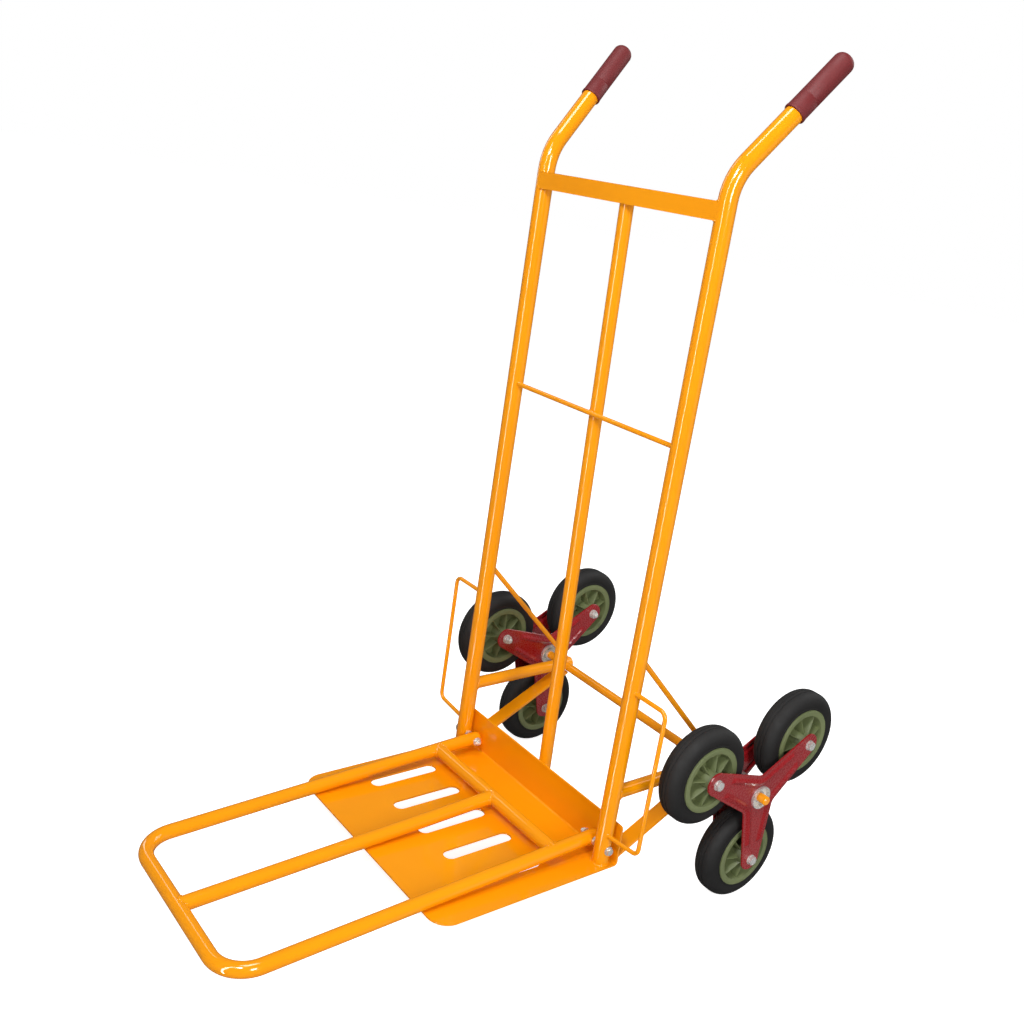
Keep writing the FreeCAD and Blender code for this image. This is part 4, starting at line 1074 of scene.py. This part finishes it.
def weld_bar_end(shape, sign):
    """Bead round the top bar's coped end: along its top, down its back, along its bottom."""
    back_face = BAR_THICKNESS - UPRIGHT_RADIUS
    points = []
    depths = [share * (back_face + UPRIGHT_RADIUS - 0.3 * MM) for share in (0, 0.25, 0.5, 1)]
    for along, order in ((BAR_HALF, 1), (-BAR_HALF, -1)):
        for depth in depths[::order]:
            across = 0.3 * MM - UPRIGHT_RADIUS + depth
            gap = math.sqrt(UPRIGHT_RADIUS ** 2 - across ** 2)
            points.append(bar_spot(sign * (UPRIGHT_X - gap), across, along))
    bead_line(shape, points, TUBE_BEAD, False)


def weld_centre_tube(shape):
    """Beads in the two grooves between the centre tube and the bar, and the flange."""
    back = UPRIGHT_UP.cross(X_AXIS)
    face = BAR_THICKNESS - UPRIGHT_RADIUS
    for sign in (-1, 1):
        x = sign * 4.6 * MM
        bead_line(shape, [bar_spot(x, face + 0.7 * MM, -BAR_HALF + 1 * MM),
                          bar_spot(x, face + 0.7 * MM, BAR_HALF - 3 * MM)], EDGE_BEAD, False)
        foot = spot(x, FLANGE_BACK + 0.8 * MM, FLANGE_WELD_LOW - PIVOT_RISE)
        top = spot(x, FLANGE_BACK + 0.8 * MM, FLANGE_WELD_HIGH - PIVOT_RISE)
        bead_line(shape, [foot, top], EDGE_BEAD, False)
    rod_low, rod_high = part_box("cross_rod")
    middle = (rod_low + rod_high) / 2
    for hand in (-1, 1):
        touch = middle + back * (2.6 * MM) + UPRIGHT_UP * (hand * 2.9 * MM)
        bead_line(shape, [touch - X_AXIS * 5 * MM, touch + X_AXIS * 5 * MM], 1.1 * MM, False)


def weld_brace(shape, sign):
    """Beads across a brace's foot on the flange and along its head under the strut."""
    node = ("left" if sign < 0 else "right") + "_brace"
    low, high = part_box(node)
    inset = 0.8 * MM
    for rise in BRACE_WELD_RISES:
        start = spot(low.x + inset, FLANGE_BACK + 0.4 * MM, rise - PIVOT_RISE)
        end = start + X_AXIS * (high.x - low.x - 2 * inset)
        bead_line(shape, [start, end], EDGE_BEAD, False)
    for hand in (-1, 1):
        head = spot(sign * UPRIGHT_X + hand * 8.2 * MM, AXLE_BACK - 8 * MM,
                    AXLE_RISE - 9.2 * MM)
        tail = spot(sign * UPRIGHT_X + hand * 7.0 * MM, AXLE_BACK - 24 * MM,
                    AXLE_RISE - 11.4 * MM)
        bead_line(shape, [head, tail], 1.3 * MM, False)


def weld_extension(shape):
    """Joints of the extension's cross tube and centre tube."""
    low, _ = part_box("extension_loop")
    front = Vector((0, low.y + RAIL_RADIUS, low.z + RAIL_RADIUS))
    axis = (front - PIVOT).normalized()
    cross_low, cross_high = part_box("extension_cross_tube")
    cross = (cross_low + cross_high) / 2
    for sign in (-1, 1):
        rail = Vector((sign * RAIL_X, PIVOT.y, PIVOT.z))
        ring = saddle(cross, X_AXIS * sign, RAIL_RADIUS, rail, axis, RAIL_RADIUS)
        bead_line(shape, ring, TUBE_BEAD, True)
    middle = (cross + front) / 2
    for end, direction in ((cross, -axis), (front, axis)):
        ring = saddle(middle, direction, RAIL_RADIUS, end, X_AXIS, RAIL_RADIUS)
        bead_line(shape, ring, TUBE_BEAD, True)


def add_welds():
    """Beads that stay with the frame, and beads that turn with the extension."""
    frame_welds = Shape()
    for _, sign in SIDES:
        weld_foot(frame_welds, sign)
        weld_side(frame_welds, sign)
        weld_cross_rod(frame_welds, sign)
        weld_bar_end(frame_welds, sign)
        weld_brace(frame_welds, sign)
    weld_centre_tube(frame_welds)
    frame_welds.make("frame_weld_beads", "frame", "frame_paint", sharp=60)
    extension_welds = Shape()
    weld_extension(extension_welds)
    for vertex in extension_welds.vertices:
        vertex.z = max(vertex.z, CAD_BOX[0][2] + 0.2 * MM)
    extension_welds.make("extension_weld_beads", "extension", "frame_paint", sharp=60)


add_tyres()
add_rims()
add_stars()
add_grips()
add_wheel_fasteners()
add_pivot_fasteners()
add_welds()


# ---- floor, light and camera ---------------------------------------------------------------

WORLD_LIGHT = 0.20
WORLD_SHEEN = 0.12
FLOOR_GLOW = 0.88


def add_floor():
    mesh = bpy.data.meshes.new("floor")
    half = 30.0
    corners = [(-half, -half, 0), (half, -half, 0), (half, half, 0), (-half, half, 0)]
    mesh.from_pydata(corners, [], [(0, 1, 2, 3)])
    floor = bpy.data.objects.new("floor", mesh)
    floor.location.z = -0.5 * MM
    bpy.context.scene.collection.objects.link(floor)
    shader = Shader("pale_floor")
    shade = shader.noise(1.5, 2.0)
    base = shader.mix(shade, rgb(0.72, 0.72, 0.72), rgb(0.75, 0.75, 0.75))
    ray = shader.tree.nodes.new("ShaderNodeLightPath").outputs["Is Camera Ray"]
    shader.set(Base_Color=base, Roughness=0.9, Specular_IOR_Level=0.1,
               Emission_Color=rgb(1.0, 1.0, 1.0),
               Emission_Strength=shader.maths("MULTIPLY", ray, FLOOR_GLOW))
    mesh.materials.append(shader.material)
    floor.visible_glossy = False


def add_area_light(name, position, target, width, height, power, sheen_only=False):
    """Rectangular lamp; a sheen-only one shows in reflections and lights nothing else."""
    lamp = bpy.data.lights.new(name, "AREA")
    lamp.shape = "RECTANGLE"
    lamp.size = width
    lamp.size_y = height
    lamp.energy = power
    holder = bpy.data.objects.new(name, lamp)
    holder.location = position
    holder.rotation_mode = "QUATERNION"
    holder.rotation_quaternion = (Vector(target) - Vector(position)).to_track_quat("-Z", "Y")
    holder.visible_diffuse = not sheen_only
    bpy.context.scene.collection.objects.link(holder)


def add_world():
    """White surround for the camera, dimmer for what it lights and dimmest in reflections."""
    world = bpy.data.worlds.new("studio")
    world.use_nodes = True
    tree = world.node_tree
    ray = tree.nodes.new("ShaderNodeLightPath")
    background = tree.nodes["Background"]
    background.inputs["Color"].default_value = rgb(1.0, 1.0, 1.0)
    strength = WORLD_LIGHT
    for kind, wanted in (("Is Glossy Ray", WORLD_SHEEN), ("Is Camera Ray", 1.0)):
        level = tree.nodes.new("ShaderNodeMapRange")
        tree.links.new(ray.outputs[kind], level.inputs["Value"])
        level.inputs["To Max"].default_value = wanted
        if isinstance(strength, float):
            level.inputs["To Min"].default_value = strength
        else:
            tree.links.new(strength, level.inputs["To Min"])
        strength = level.outputs["Result"]
    tree.links.new(strength, background.inputs["Strength"])
    bpy.context.scene.world = world


CAMERA_PLACE = (1.1922, -1.0194, 0.9704)
CAMERA_YAW = -0.87775
CAMERA_PITCH = -0.26995
CAMERA_ROLL = 0.19185
CAMERA_LENS = 40.237


def add_camera():
    """Camera of the studio view: it stands to the front right, looks down, and is rolled."""
    data = bpy.data.cameras.new("camera")
    data.sensor_width = 36.0
    data.lens = CAMERA_LENS
    data.clip_end = 100.0
    holder = bpy.data.objects.new("camera", data)
    forward = Vector((math.sin(CAMERA_YAW) * math.cos(CAMERA_PITCH),
                      math.cos(CAMERA_YAW) * math.cos(CAMERA_PITCH), math.sin(CAMERA_PITCH)))
    level = Vector((math.cos(CAMERA_YAW), -math.sin(CAMERA_YAW), 0))
    up = level.cross(forward)
    right = math.cos(CAMERA_ROLL) * level + math.sin(CAMERA_ROLL) * up
    top = -math.sin(CAMERA_ROLL) * level + math.cos(CAMERA_ROLL) * up
    turn = Matrix((right, top, -forward)).transposed()
    holder.rotation_mode = "QUATERNION"
    holder.rotation_quaternion = turn.to_quaternion()
    holder.location = CAMERA_PLACE
    bpy.context.scene.collection.objects.link(holder)
    bpy.context.scene.camera = holder


add_floor()
add_world()
add_area_light("strip", (0.8, -2.9, 0.9), (0, 0, 0.9), 0.22, 7.0, 90, sheen_only=True)
add_area_light("panel", (2.5, 2.1, -0.2), (0.3, 0.3, 0.2), 2.0, 3.0, 4.5, sheen_only=True)
add_area_light("key", (0.9, -1.5, 2.1), (0, 0, 0.7), 0.4, 0.4, 26)
add_area_light("side", (2.9, -0.9, 1.5), (0, 0, 0.4), 0.7, 1.2, 52)
add_area_light("top", (0.1, -0.6, 3.4), (0, -0.2, 0.3), 1.0, 1.0, 27)
add_area_light("fill", (-3.0, -0.6, 2.0), (0, 0, 0.45), 0.5, 2.6, 12)
add_area_light("back", (0.5, 3.2, 2.6), (0, 0, 0.4), 2.0, 2.0, 42)
add_camera()
bpy.context.scene.view_settings.view_transform = "Standard"
